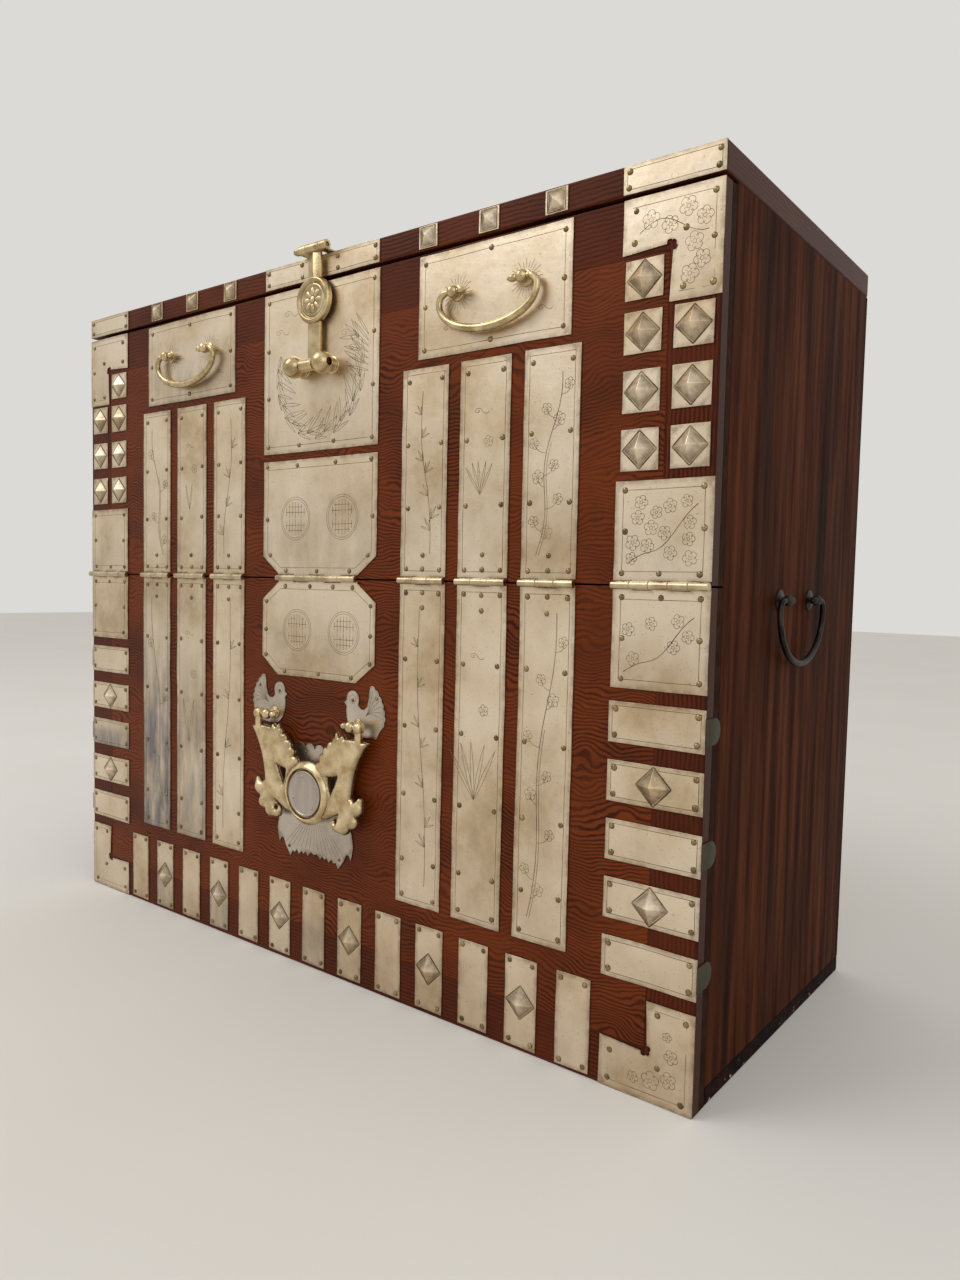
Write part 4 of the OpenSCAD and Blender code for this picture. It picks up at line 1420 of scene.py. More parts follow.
@dataclass
class Hinges:
    """The nine hinges on one line, with their long straps, corner squares and centre leaves."""

    finishes: Finishes
    strap_w: float = 58.0
    strap_barrels: int = 3
    wide_barrels: int = 5
    chamfer: Point = (27.0, 20.0)

    def straps(self, node: str) -> list[Span]:
        """Find the three straps of a node.

        Args:
            node: Its name.

        Returns:
            Their boxes with their barrels, from left to right.
        """
        whole = Span.of(node)
        pitch = (whole.wide - self.strap_w) / 2
        return [replace(whole, left=whole.left + i * pitch,
                        right=whole.left + i * pitch + self.strap_w) for i in range(3)]

    def leaf(self, fitting: Fitting, span: Span, barrels: int, tone: float) -> Span:
        """Cut a leaf with its tabs.

        Args:
            fitting: What the leaf belongs to.
            span: The box of the leaf and its barrels.
            barrels: How many barrels its hinge has.
            tone: How dark it is.

        Returns:
            The box of the flat part alone.
        """
        hinge = Hinge(span.mid_x, span.wide, barrels)
        if span.mid_z > HINGE_LINE.z:
            flat = replace(span, low=HINGE_LINE.z + LEAF_GAP)
            start, *others = flat.corners
            fitting.cut([start, *hinge.tabs(1), *others], tone)
        else:
            flat = replace(span, high=HINGE_LINE.z - LEAF_GAP)
            *others, end = flat.corners
            fitting.cut([*others, *hinge.tabs(-1), end], tone)
        return flat

    def make_straps(self, part: str, body: str, side: Side) -> None:
        """Cut three straps and scribe their plants.

        Args:
            part: "door" or "front".
            body: The body that they ride on.
            side: Their side.
        """
        node = f"{part}_straps_{side.word}"
        fitting = Fitting(node, body, self.finishes)
        tarnished = side is Side.LEFT and part == "front"
        pairs, threes, ones = ((623, 562, 501), 441, 455) if part == "door" else \
            ((352, 286, 217, 151, 115), 418, 403)
        for i, span in enumerate(self.straps(node)[::side.value]):
            flat = self.leaf(fitting, span, self.strap_barrels,
                             (0.12, 0.6, 0.95)[i] if tarnished else 0.12)
            x = flat.mid_x
            fitting.nail(grid((x - 20.5, x + 20.5), pairs))
            fitting.nail([(x - 21, threes), (x, threes), (x + 21, threes), (x, ones)])
            fitting.pen.border(flat, 5.5)
            plant = Plant(fitting.pen, flat.inset(22), side)
            (plant.bamboo, plant.orchid, plant.plum)[i]()
        fitting.finish()

    def make_square(self, part: str, body: str, side: Side) -> None:
        """Cut the square leaf at one edge of the chest.

        Args:
            part: "door" or "front".
            body: The body that it rides on.
            side: Its side.
        """
        fitting = Fitting(f"{part}_hinge_square_{side.word}", body, self.finishes)
        flat = self.leaf(fitting, Span.of(fitting.name), self.wide_barrels, 0.15)
        nails, blossoms = {
            "door": ([(-34.5, 33), (35.5, 34), (-33.5, -1), (35.5, 1), (-35.5, -35), (-2, -35),
                      (33.5, -35)], 14),
            "front": ([(-34.5, 35), (1, 35), (35, 35), (-34.5, 1), (36, 2), (-33.5, -33),
                       (37, -32)], 6)}[part]
        fitting.nail(placed(nails, (flat.mid_x, flat.mid_z), side.value))
        fitting.pen.border(flat, 7.5)
        if side is Side.RIGHT:
            self.scatter(fitting.pen, flat, blossoms)
        fitting.finish()

    def scatter(self, pen: Scriber, flat: Span, count: int) -> None:
        """Scribe a branch and strew blossoms beside it.

        Args:
            pen: What scribes.
            flat: The leaf that they lie on.
            count: How many blossoms there are.
        """
        pen.stroke([(flat.left + 12 + 62 * t, flat.low + 14 + 46 * t ** 1.5 + 3 * math.sin(9 * t))
                    for t in shares(12)], 0.7)
        room, taken = flat.inset(15), []
        roll = random.Random(count).uniform
        while len(taken) < count:
            spot = (roll(room.left, room.right), roll(room.low, room.high))
            if all(math.dist(spot, other) > 12.5 for other in taken):
                taken.append(spot)
                pen.blossom(spot, roll(5.2, 6.6), roll(0, 72))

    def make_centre(self) -> None:
        """Cut the two middle leaves, with their corners cut off."""
        cut_x, cut_z = self.chamfer
        door, front = Span.of("door_centre_leaf"), Span.of("front_centre_leaf")
        low, top = HINGE_LINE.z + LEAF_GAP, HINGE_LINE.z - LEAF_GAP
        hinge = self.centre_hinge
        upper = Fitting("door_centre_leaf", DOOR, self.finishes)
        upper.cut([(door.left, low + cut_z), (door.left + cut_x, low), *hinge.tabs(1),
                   (door.right - cut_x, low), (door.right, low + cut_z), (door.right, door.high),
                   (door.left, door.high)], 0.2)
        upper.nail([(x, door.high - 6) for x in (-82, -33, 27, 80)])
        upper.nail([(-82, 495), (82, 495), (-76, 455), (76, 455)]
                   + [(x, low + 4) for x in (-50, 0, 50)])
        right = [(door.right - cut_x - 3, low + 7.5), (door.right - 7, low + cut_z + 4),
                 (door.right - 7, door.high - 9)]
        left = flipped(right)
        upper.pen.loop([*left[1:], *right, left[0]])
        lower = Fitting("front_centre_leaf", CARCASS, self.finishes)
        lower.cut([(front.left + cut_x, front.low), (front.right - cut_x, front.low),
                   (front.right, front.low + cut_z), (front.right, top - cut_z),
                   (front.right - cut_x, top), *hinge.tabs(-1), (front.left + cut_x, top),
                   (front.left, top - cut_z), (front.left, front.low + cut_z)], 0.2)
        lower.nail(grid((-82, 82), (403, 372, 343)) + [(x, top - 5) for x in (-50, -10, 25, 55)]
                   + [(x, front.low + 5) for x in (-50, 5, 55)])
        right = [(0, front.low + 7), (front.right - cut_x - 3, front.low + 7),
                 (front.right - 7, front.low + cut_z + 4), (front.right - 7, top - cut_z - 4),
                 (front.right - cut_x - 3, top - 8), (0, top - 8)]
        lower.pen.loop(right + flipped(right)[1:-1])
        for fitting, xs, z, radius in ((upper, (-35, 38), 495, 23.5), (lower, (-30, 43), 373, 23)):
            for x in xs:
                fitting.pen.roundel((x, z), radius)
            fitting.finish()

    @property
    def centre_hinge(self) -> Hinge:
        """The hinge between the two middle leaves."""
        wide = Span.of("door_centre_leaf").wide - 2 * self.chamfer[0]
        return Hinge(0, wide, self.wide_barrels)

    def rows(self) -> list[Hinge]:
        """List the nine hinges.

        Returns:
            Them all, the centre one first.
        """
        row = [self.centre_hinge]
        for side in Side:
            square = Span.of(f"front_hinge_square_{side.word}")
            row.append(Hinge(square.mid_x, square.wide, self.wide_barrels))
            row += [Hinge(s.mid_x, s.wide, self.strap_barrels)
                    for s in self.straps(f"front_straps_{side.word}")]
        return row

    def make(self) -> None:
        """Make all the leaves and barrels."""
        for part, body, first in (("door", DOOR, 1), ("front", CARCASS, 0)):
            for side in Side:
                self.make_straps(part, body, side)
                self.make_square(part, body, side)
            mesh = bmesh.new()
            for hinge in self.rows():
                hinge.roll(mesh, first)
            piece(mesh, f"{part}_hinge_barrels", body, SHEET_SLOT, self.finishes["barrel"])
        self.make_centre()
        clothe("hinge_pins", self.finishes["barrel"])


@dataclass
class LidPlates:
    """The plates along the lid's front edge."""

    finishes: Finishes
    stud_w: float = 23.0

    def make(self) -> None:
        """Cut the corner plates, the centre plate and the six small studs."""
        nodes = {"lid_corner_plate_left": 2, "lid_corner_plate_right": 2, "lid_centre_plate": 4}
        fitting = Fitting("lid", CARCASS, self.finishes, (*nodes, "lid_stud_plates"))
        for node, across in nodes.items():
            span = Span.of(node)
            fitting.cut(span.corners, 0.1)
            fitting.nail(span.inset(5.5).edge_points(across))
            fitting.pen.border(span, 3.6)
        row = Span.of("lid_stud_plates")
        pitch = (Span.of("door_straps_right").wide - Hinges.strap_w) / 2
        for side in Side:
            for i in range(3):
                x = side.value * (row.right - self.stud_w / 2 - i * pitch)
                fitting.cut(row.around(x, row.mid_z, self.stud_w, row.tall).corners)
                fitting.stud(x, row.mid_z, 12, 6, 45)
        fitting.finish()


@dataclass(frozen=True)
class SteppedPlate:
    """A stepped plate in a corner of the front, with three round cuts at its inner corner.

    The nails, the scribed edge and the blossoms are places from the plate's outer corner as they
    lie on the right side. Only the right plate has blossoms: X, Z and radius of each.
    """

    name: str
    body: str
    up: int
    nails: tuple[Point, ...]
    edge: tuple[Point, ...]
    blossoms: tuple[Lobe, ...]
    twist: float
    arm: float = 44.0
    cut_r: float = 2.6

    def outline(self, corner: Point, wide: float, tall: float, sign: int) -> list[Point]:
        """Draw the plate.

        Args:
            corner: Its outer corner.
            wide: Its width.
            tall: Its height.
            sign: The sign of its side.

        Returns:
            The outline.
        """
        cuts = []
        for a, start, end in ((105, 100, -70.8), (45, 70.8, -70.8), (-15, 70.8, -100)):
            cuts += arc(spoke((0, 0), 3.4, a), self.cut_r, a + start, a + end, 5)
        path = [(0, 0), (-wide, 0), (-wide, -self.arm), *placed(cuts, (-self.arm, -self.arm)),
                (-self.arm, -tall), (0, -tall)]
        return [(corner[0] + sign * x, corner[1] + self.up * z) for x, z in path]

    def make(self, side: Side, finishes: Finishes) -> None:
        """Cut the plate of one side.

        Args:
            side: The side.
            finishes: The materials.
        """
        fitting = Fitting(f"{self.name}_{side.word}", self.body, finishes)
        span, sign = Span.of(fitting.name), side.value
        corner = (span.right if sign > 0 else span.left, span.high if self.up > 0 else span.low)
        fitting.cut(self.outline(corner, span.wide, span.tall, sign), 0.15)
        fitting.nail(placed(self.nails, corner, sign))
        fitting.pen.stroke(placed(self.edge, corner, sign), 0.5)
        if side is Side.RIGHT:
            for k, (x, z, radius) in enumerate(self.blossoms):
                fitting.pen.blossom((corner[0] + x, corner[1] + z), radius, self.twist * k)
            if self.up > 0:
                fitting.pen.stroke([(corner[0] - 72 + 60 * t,
                                     corner[1] - 29 + 8 * math.sin(5 * t)) for t in shares(10)],
                                   0.6)
        fitting.finish()


TOP_CORNER = SteppedPlate(
    "door_corner_plate", DOOR, 1,
    ((-76, -10), (-8, -9), (-76, -35), (-31, -32), (-32, -77), (-7, -77), (-8, -43)),
    ((-79, -7.5), (-7, -7.5), (-7, -80), (-36, -80)),
    ((-62, -20, 7.8), (-45, -27, 7.2), (-30, -16, 7.8), (-16, -26, 7.2), (-24, -44, 7.8),
     (-17, -58, 7.2), (-27, -68, 7.8)), 20)
FOOT_CORNER = SteppedPlate(
    "foot_plate", CARCASS, -1,
    ((-33, 76), (-8, 76), (-77, 33), (-32, 31), (-78, 8), (-10, 7)),
    ((-36, 79), (-7, 79), (-7, 7), (-80, 7)),
    ((-38, 19, 8.2), (-22, 24, 7.2), (-20, 44, 6.2), (-54, 17, 5.2), (-24, 60, 4.2)), 14)


@dataclass
class DoorPlates:
    """The plates on the door: stepped corners, stud squares, handle plates and lock plate."""

    finishes: Finishes
    stud_w: float = 34.0
    top_stud_h: float = 32.0
    stud_pitch: float = 47.0
    bail_post_x: float = 39.0

    def make(self) -> None:
        """Cut all of them, side by side."""
        for side in Side:
            TOP_CORNER.make(side, self.finishes)
            self.make_studs(side)
            self.make_handle_plate(side)
        self.make_lock_plate()

    def make_studs(self, side: Side) -> None:
        """Cut the seven small squares with pyramids.

        Args:
            side: Their side.
        """
        fitting = Fitting(f"door_stud_plates_{side.word}", DOOR, self.finishes)
        span, half = Span.of(fitting.name), self.stud_w / 2
        columns = [span.left + half, span.right - half][::side.value]
        spots = grid(columns, [span.low + half + i * self.stud_pitch for i in range(3)])
        top = (columns[0], span.high - self.top_stud_h / 2)
        fitting.cut(span.around(*top, self.stud_w, self.top_stud_h).corners, 0.1)
        for x, z in spots:
            fitting.cut(span.around(x, z, self.stud_w, self.stud_w).corners, 0.1)
        for x, z in [*spots, top]:
            fitting.stud(x, z, 14.5)
        fitting.finish()

    def make_handle_plate(self, side: Side) -> None:
        """Cut the plate behind a bail, with rays scribed round its posts.

        Args:
            side: Its side.
        """
        fitting = Fitting(f"handle_plate_{side.word}", DOOR, self.finishes)
        span, mid = Span.of(fitting.name), pivot(f"bail_{side.word}_hinge")
        fitting.cut(span.corners, 0.3 if side is Side.LEFT else 0.1)
        fitting.nail(span.inset(8).edge_points(3, 3))
        fitting.pen.border(span, 7.5)
        for s in (-1, 1):
            post = (mid.x + s * self.bail_post_x, mid.z)
            for k in range(24):
                fitting.pen.stroke([spoke(post, r, 15 * k) for r in (9, 15 if k % 2 else 18)], 0.4)
        fitting.pen.clouds(placed(((-52, -30), (-18, -36), (20, -33), (56, -28)), (mid.x, mid.z)),
                           4.5)
        fitting.finish()

    def make_lock_plate(self) -> None:
        """Cut the plate behind the lock, with grasses that lean in round it."""
        fitting = Fitting("lock_plate", DOOR, self.finishes)
        span = Span.of(fitting.name)
        x, z = span.mid_x, span.mid_z
        fitting.cut(span.corners, 0.15)
        fitting.nail([(u, span.low + 8) for u in (-81, -30, 24, 80)]
                     + grid((-81, 81), (732, 680, 628)))
        fitting.pen.border(span, 8)
        for k in range(20):
            way = 158 + 12 * k
            root = spoke((x, z - 6), 66 + 3 * math.sin(3 * k), way)
            fitting.pen.spray(root, 25 + 4 * (k % 3), (way + 150, way + 118, way + 96))
        fitting.pen.clouds(placed(((-64, 44), (-50, 62), (40, 30), (50, 14)), (x, z)), 6.5)
        for k in range(7):
            fitting.pen.leaf((x + 74, z + 24 - 6 * k), 30, 128 + 6 * k, 0.08)
        fitting.finish()


@dataclass
class LowerPlates:
    """The plates on the fixed front: side bands, foot plates and the bottom row."""

    finishes: Finishes
    band_h: float = 35.0
    tab_reach: float = 25.0
    tab_tall: float = 22.0

    def make(self) -> None:
        """Cut all of them."""
        for side in Side:
            self.make_bands(side)
            FOOT_CORNER.make(side, self.finishes)
        self.make_row()

    def make_bands(self, side: Side) -> None:
        """Cut the five bands of a side, three of which turn the corner in a green tab.

        Args:
            side: Their side.
        """
        fitting = Fitting(f"side_bands_{side.word}", CARCASS, self.finishes)
        whole = Span.of(fitting.name)
        span = replace(whole, left=max(whole.left, CHEST.left),
                       right=min(whole.right, CHEST.right))
        tabs = bmesh.new()
        pitch = (span.tall - self.band_h) / 4
        for i in range(5):
            z = span.high - self.band_h / 2 - i * pitch
            band = span.around(span.mid_x, z, span.wide, self.band_h)
            fitting.cut(band.corners, 0.8 if side is Side.LEFT and i == 2 else 0.1)
            fitting.nail(band.inset(6.5).edge_points())
            fitting.pen.border(band, 3.8)
            if i % 2:
                fitting.stud(span.mid_x, z, 15.5)
            else:
                self.turn_tab(tabs, side, z)
        piece(tabs, f"{fitting.name}_tabs", CARCASS, SHEET_SLOT, self.finishes["verdigris"])
        fitting.finish()

    def turn_tab(self, mesh: BMesh, side: Side, z: float) -> None:
        """Lay the round end of a band flat on the side of the chest.

        Args:
            mesh: The bmesh that gets it.
            side: The side.
            z: How high it lies.
        """
        half, sign = self.tab_tall / 2, side.value
        start, reach = SHEET_FRONT + 0.05, FACE.front + self.tab_reach - half
        outline = [(start, -half), *arc((reach, 0), half, -90, 90, 10), (start, half)]
        stand = facing(Vector((sign * CHEST.right, 0, z)), TO_RIGHT * sign)
        prism(mesh, [(sign * u, v) for u, v in outline], stand, SHEET_MM, 0.3)

    def make_row(self) -> None:
        """Cut the thirteen plates along the bottom, six of them with pyramids."""
        span = Span.of("bottom_row_plates")
        fitting = Fitting("bottom_row", CARCASS, self.finishes, ("bottom_row_plates",))
        count = 13
        pitch = (span.wide - self.band_h) / (count - 1)
        for i in range(count):
            x = span.left + self.band_h / 2 + i * pitch
            plate = span.around(x, span.mid_z, self.band_h, span.tall)
            fitting.cut(plate.corners, 0.45 if i in (1, 3, 6) else 0.12)
            fitting.nail(grid((x - 12.3, x + 12.3), (span.low + 5, span.high - 5)))
            if i % 2:
                fitting.stud(x, span.mid_z, 15)
        fitting.finish()


@dataclass(frozen=True)
class BallPost:
    """A turned post with a bored ball for its head."""

    ball_r: float
    bore_r: float
    foot_r: float
    neck_r: float
    reach: float

    def turn(self, mesh: BMesh, foot: Vector, out: Vector, along: Vector) -> None:
        """Turn one post.

        Args:
            mesh: The bmesh that gets it.
            foot: The middle of its foot, in millimetres.
            out: The way that it stands.
            along: The way that its hole runs.
        """
        top = self.reach - self.bore_r - 0.5
        f, n = self.foot_r, self.neck_r
        profile = [(0, 0), (f - 0.3, 0), (f, 0.35), (f, 0.9), (f - 0.5, 1.35), (n + 1.1, 1.6),
                   (n + 0.3, 2.1), (n, 2.8), (n, top), (0, top)]
        lathe(mesh, profile, foot, out, 40)
        bored_ball(mesh, foot + out * self.reach, self.ball_r, self.bore_r, along)

    def pair(self, half: float, z: float) -> BMesh:
        """Turn two posts that stand on the plates of the front.

        Args:
            half: How far each stands from the chest's middle, in millimetres.
            z: How high they stand.

        Returns:
            The bmesh with both.
        """
        mesh = bmesh.new()
        for s in (-1, 1):
            self.turn(mesh, Vector((s * half, SHEET_FRONT, z)), TO_FRONT, TO_RIGHT)
        return mesh


@dataclass
class Hasp:
    """The hasp on the lid: its bracket, its pin, the ridged strap, and the two lock posts."""

    finishes: Finishes
    wide: float = 19.0
    barrel_r: float = 5.0
    barrel_bore: float = 2.55
    barrel_gap: float = 9.8
    leaf_t: float = 1.6
    medallion_z: float = 721.5

    def make(self) -> None:
        """Make the four pieces."""
        self.axis = pivot("hasp_hinge")
        self.make_bracket()
        self.make_pin()
        self.make_strap()
        self.make_posts()

    def add(self, mesh: BMesh, name: str, body: str, node: str, crease: float = 50.0) -> None:
        """Turn one casting into a piece."""
        piece(mesh, name, body, CAST_SLOT, self.finishes["handled"], (node,), crease)

    def make_bracket(self) -> None:
        """Cut the leaf on the lid and roll its two barrels."""
        span = Span.of("hasp_bracket")
        mesh = bmesh.new()
        y, gap, half = self.axis.y, self.barrel_gap, span.right
        right = [(gap, FACE.front + 3), (gap, y), (half, y), (half, span.back - 3),
                 (half - 5, span.back)]
        stand = Matrix.Translation(mm(0, 0, CHEST.high))
        prism(mesh, right + flipped(right), stand, self.leaf_t, 0.3)
        for side in Side:
            mid = Vector((side.value * (gap + half) / 2, y, self.axis.z))
            tube(mesh, mid, half - gap, self.barrel_bore, self.barrel_r, 0.5)
        rivet = [(0, -0.4), (2.8, -0.2), (2.8, 0.5), (2.1, 1.2), (1.1, 1.6), (0, 1.7)]
        for x, back in grid((-13, 13), (14, 34)):
            lathe(mesh, rivet, Vector((x, FACE.front + back, CHEST.high + 1.5)), UP, 16)
        self.add(mesh, "hasp_bracket_cast", CARCASS, "hasp_bracket")

    def make_pin(self) -> None:
        """Turn the pin with the finial on its left end."""
        left = Span.of("hasp_bracket").left - 0.3
        profile = [(0, -36), (2.1, -36), (2.5, -35.6), (2.5, 0), (4.2, 0), (4.6, 0.4), (4.6, 1.2),
                   (4.2, 1.6), (3.4, 2.1), (3.6, 2.9), (4.05, 3.7), (4.05, 4.8), (3.7, 6.2),
                   (3.1, 8), (2.4, 9.3), (1.4, 10.1), (0, 10.4)]
        mesh = bmesh.new()
        lathe(mesh, profile, Vector((left, self.axis.y, self.axis.z)), TO_LEFT)
        self.add(mesh, "hasp_pin_turned", CARCASS, "hasp_pin")

    def make_strap(self) -> None:
        """Cast the strap with its ridge, medallion and eye."""
        mesh = bmesh.new()
        lock = Span.of("lock_posts")
        eye = Vector((0, lock.front + 11.5, lock.mid_z))
        back, low, half = self.axis.y + 3.5, eye.z + 3, 9.25
        ridge = [(-half, 0), (half, 0), (half, -3), (0, -5), (-half, -3)]
        prism(mesh, ridge, Matrix.Translation(mm(0, back, low)), self.axis.z - 3.5 - low, 0.5)
        tube(mesh, self.axis, self.wide, self.barrel_bore, self.barrel_r, 0.5)
        tube(mesh, eye, self.wide, 4, 6.5, 0.8)
        disc = Vector((0, back + 0.5, self.medallion_z))
        profile = [(0, 0), (23.6, 0), (24.5, 0.9), (24.5, 4.6), (24.0, 5.7), (22.6, 7.3),
                   (21.8, 7.5), (20.3, 7.5), (19.6, 7.1), (18.6, 5.6), (18.1, 5.3), (17.2, 5.3),
                   (16.7, 5.8), (16.2, 6.2), (15.4, 6.2), (15.0, 5.7), (0, 5.7)]
        lathe(mesh, profile, disc, TO_FRONT, 64)
        self.rosette(mesh, disc + TO_FRONT * 5.7)
        self.add(mesh, "hasp_strap_cast", "hasp", "hasp_strap", 40)

    def rosette(self, mesh: BMesh, mid: Vector) -> None:
        """Raise eight petals and a heart on the medallion.

        Args:
            mesh: The bmesh that gets them.
            mid: The middle of the medallion's face, in millimetres.
        """
        stand = facing(mid, TO_FRONT)
        for k in range(8):
            part = bmesh.new()
            bmesh.ops.create_uvsphere(part, u_segments=14, v_segments=8, radius=MM)
            petal = Matrix.Rotation(math.tau * k / 8, 4, "Z") @ Matrix.Translation(mm(8.6, 0, 0)) \
                @ Matrix.Diagonal((4.6, 2.5, 1.3, 1))
            bmesh.ops.transform(part, matrix=stand @ petal, verts=part.verts)
            pour(mesh, part)
        lathe(mesh, [(0, -0.3), (3.4, -0.3), (3.3, 0.6), (2.4, 1.3), (1.2, 1.6), (0, 1.7)], mid,
              TO_FRONT, 20)

    def make_posts(self) -> None:
        """Turn the two large ball posts that take the padlock's bar."""
        post = BallPost(ball_r=11.5, bore_r=4.0, foot_r=9.5, neck_r=7.0, reach=14.8)
        mesh = post.pair(22, Span.of("lock_posts").mid_z)
        self.add(mesh, "lock_posts_cast", DOOR, "lock_posts")


@dataclass
class Bail:
    """A round rod bent into a swinging handle, with a bud on each inner end."""

    name: str
    slot: str
    material: bpy.types.Material
    wide: float
    drop: float
    pitch: float
    thick: float
    thin: float
    bend: float
    post: BallPost
    pintle_r: float = 2.4
    bud_gap: float = 3.4

    def __post_init__(self) -> None:
        """Work out where the rod's middle line and its buds lie."""
        self.half = self.wide / 2 - self.thick
        self.inner = self.pitch / 2 - self.post.ball_r - self.bud_gap

    def line(self) -> list[Point]:
        """Draw the rod's middle line.

        Returns:
            Its points from the inner right end round to the inner left one.
        """
        fall = self.drop - self.bend - self.thick
        reach = self.half - self.bend
        right = [(self.inner + (reach - self.inner) * i / 4, 0.0) for i in range(4)]
        right += arc((reach, -self.bend), self.bend, 90, 6, 9)
        bottom = [(self.half * math.cos(t), -self.bend - fall * math.sin(t))
                  for t in (math.pi * k / 40 for k in range(41))]
        return right + bottom + flipped(right)

    def make(self, mid: Vector, along: Vector) -> None:
        """Bend the rod.

        Args:
            mid: The middle between the posts, on the pivot's line, in millimetres.
            along: The way from one post to the other.
        """
        mesh = bmesh.new()
        line = self.line()
        radii = []
        for u, v in line:
            full = self.thin + (self.thick - self.thin) * max(0.0, 1 - (u / self.half) ** 2)
            radii.append(self.pintle_r if v > -0.2 else full)
        sweep(mesh, [mid + along * u + UP * v for u, v in line], radii)
        bud = [(0, -2.6), (2.0, -2.6), (2.7, -2.2), (3.3, -1.0), (3.5, 0.6), (3.3, 2.0),
               (2.7, 3.4), (1.9, 4.8), (1.0, 6.2), (0, 7.0)]
        for s in (-1, 1):
            lathe(mesh, bud, mid + along * (s * self.inner), along * -s, 24)
        piece(mesh, f"{self.name}_bent", self.name, self.slot, self.material, (self.name,), 60)

    def make_posts(self, node: str, body: str, mid: Vector, along: Vector, out: Vector) -> None:
        """Turn the two posts that carry the rod, on washers where they are iron.

        Args:
            node: The CAD node of the posts.
            body: The body that they stand on.
            mid: The middle between them, on the pivot's line, in millimetres.
            along: The way from one post to the other.
            out: The way that they stand.
        """
        mesh = bmesh.new()
        washer = [(0, 0), (9.6, 0), (10, 0.3), (10, 0.9), (9.6, 1.2), (0, 1.2)]
        for s in (-1, 1):
            foot = mid + along * (s * self.pitch / 2) - out * self.post.reach
            self.post.turn(mesh, foot, out, along)
            if self.slot == IRON_SLOT:
                lathe(mesh, washer, foot, out, 32)
        piece(mesh, f"{node}_turned", body, self.slot, self.material, (node,))


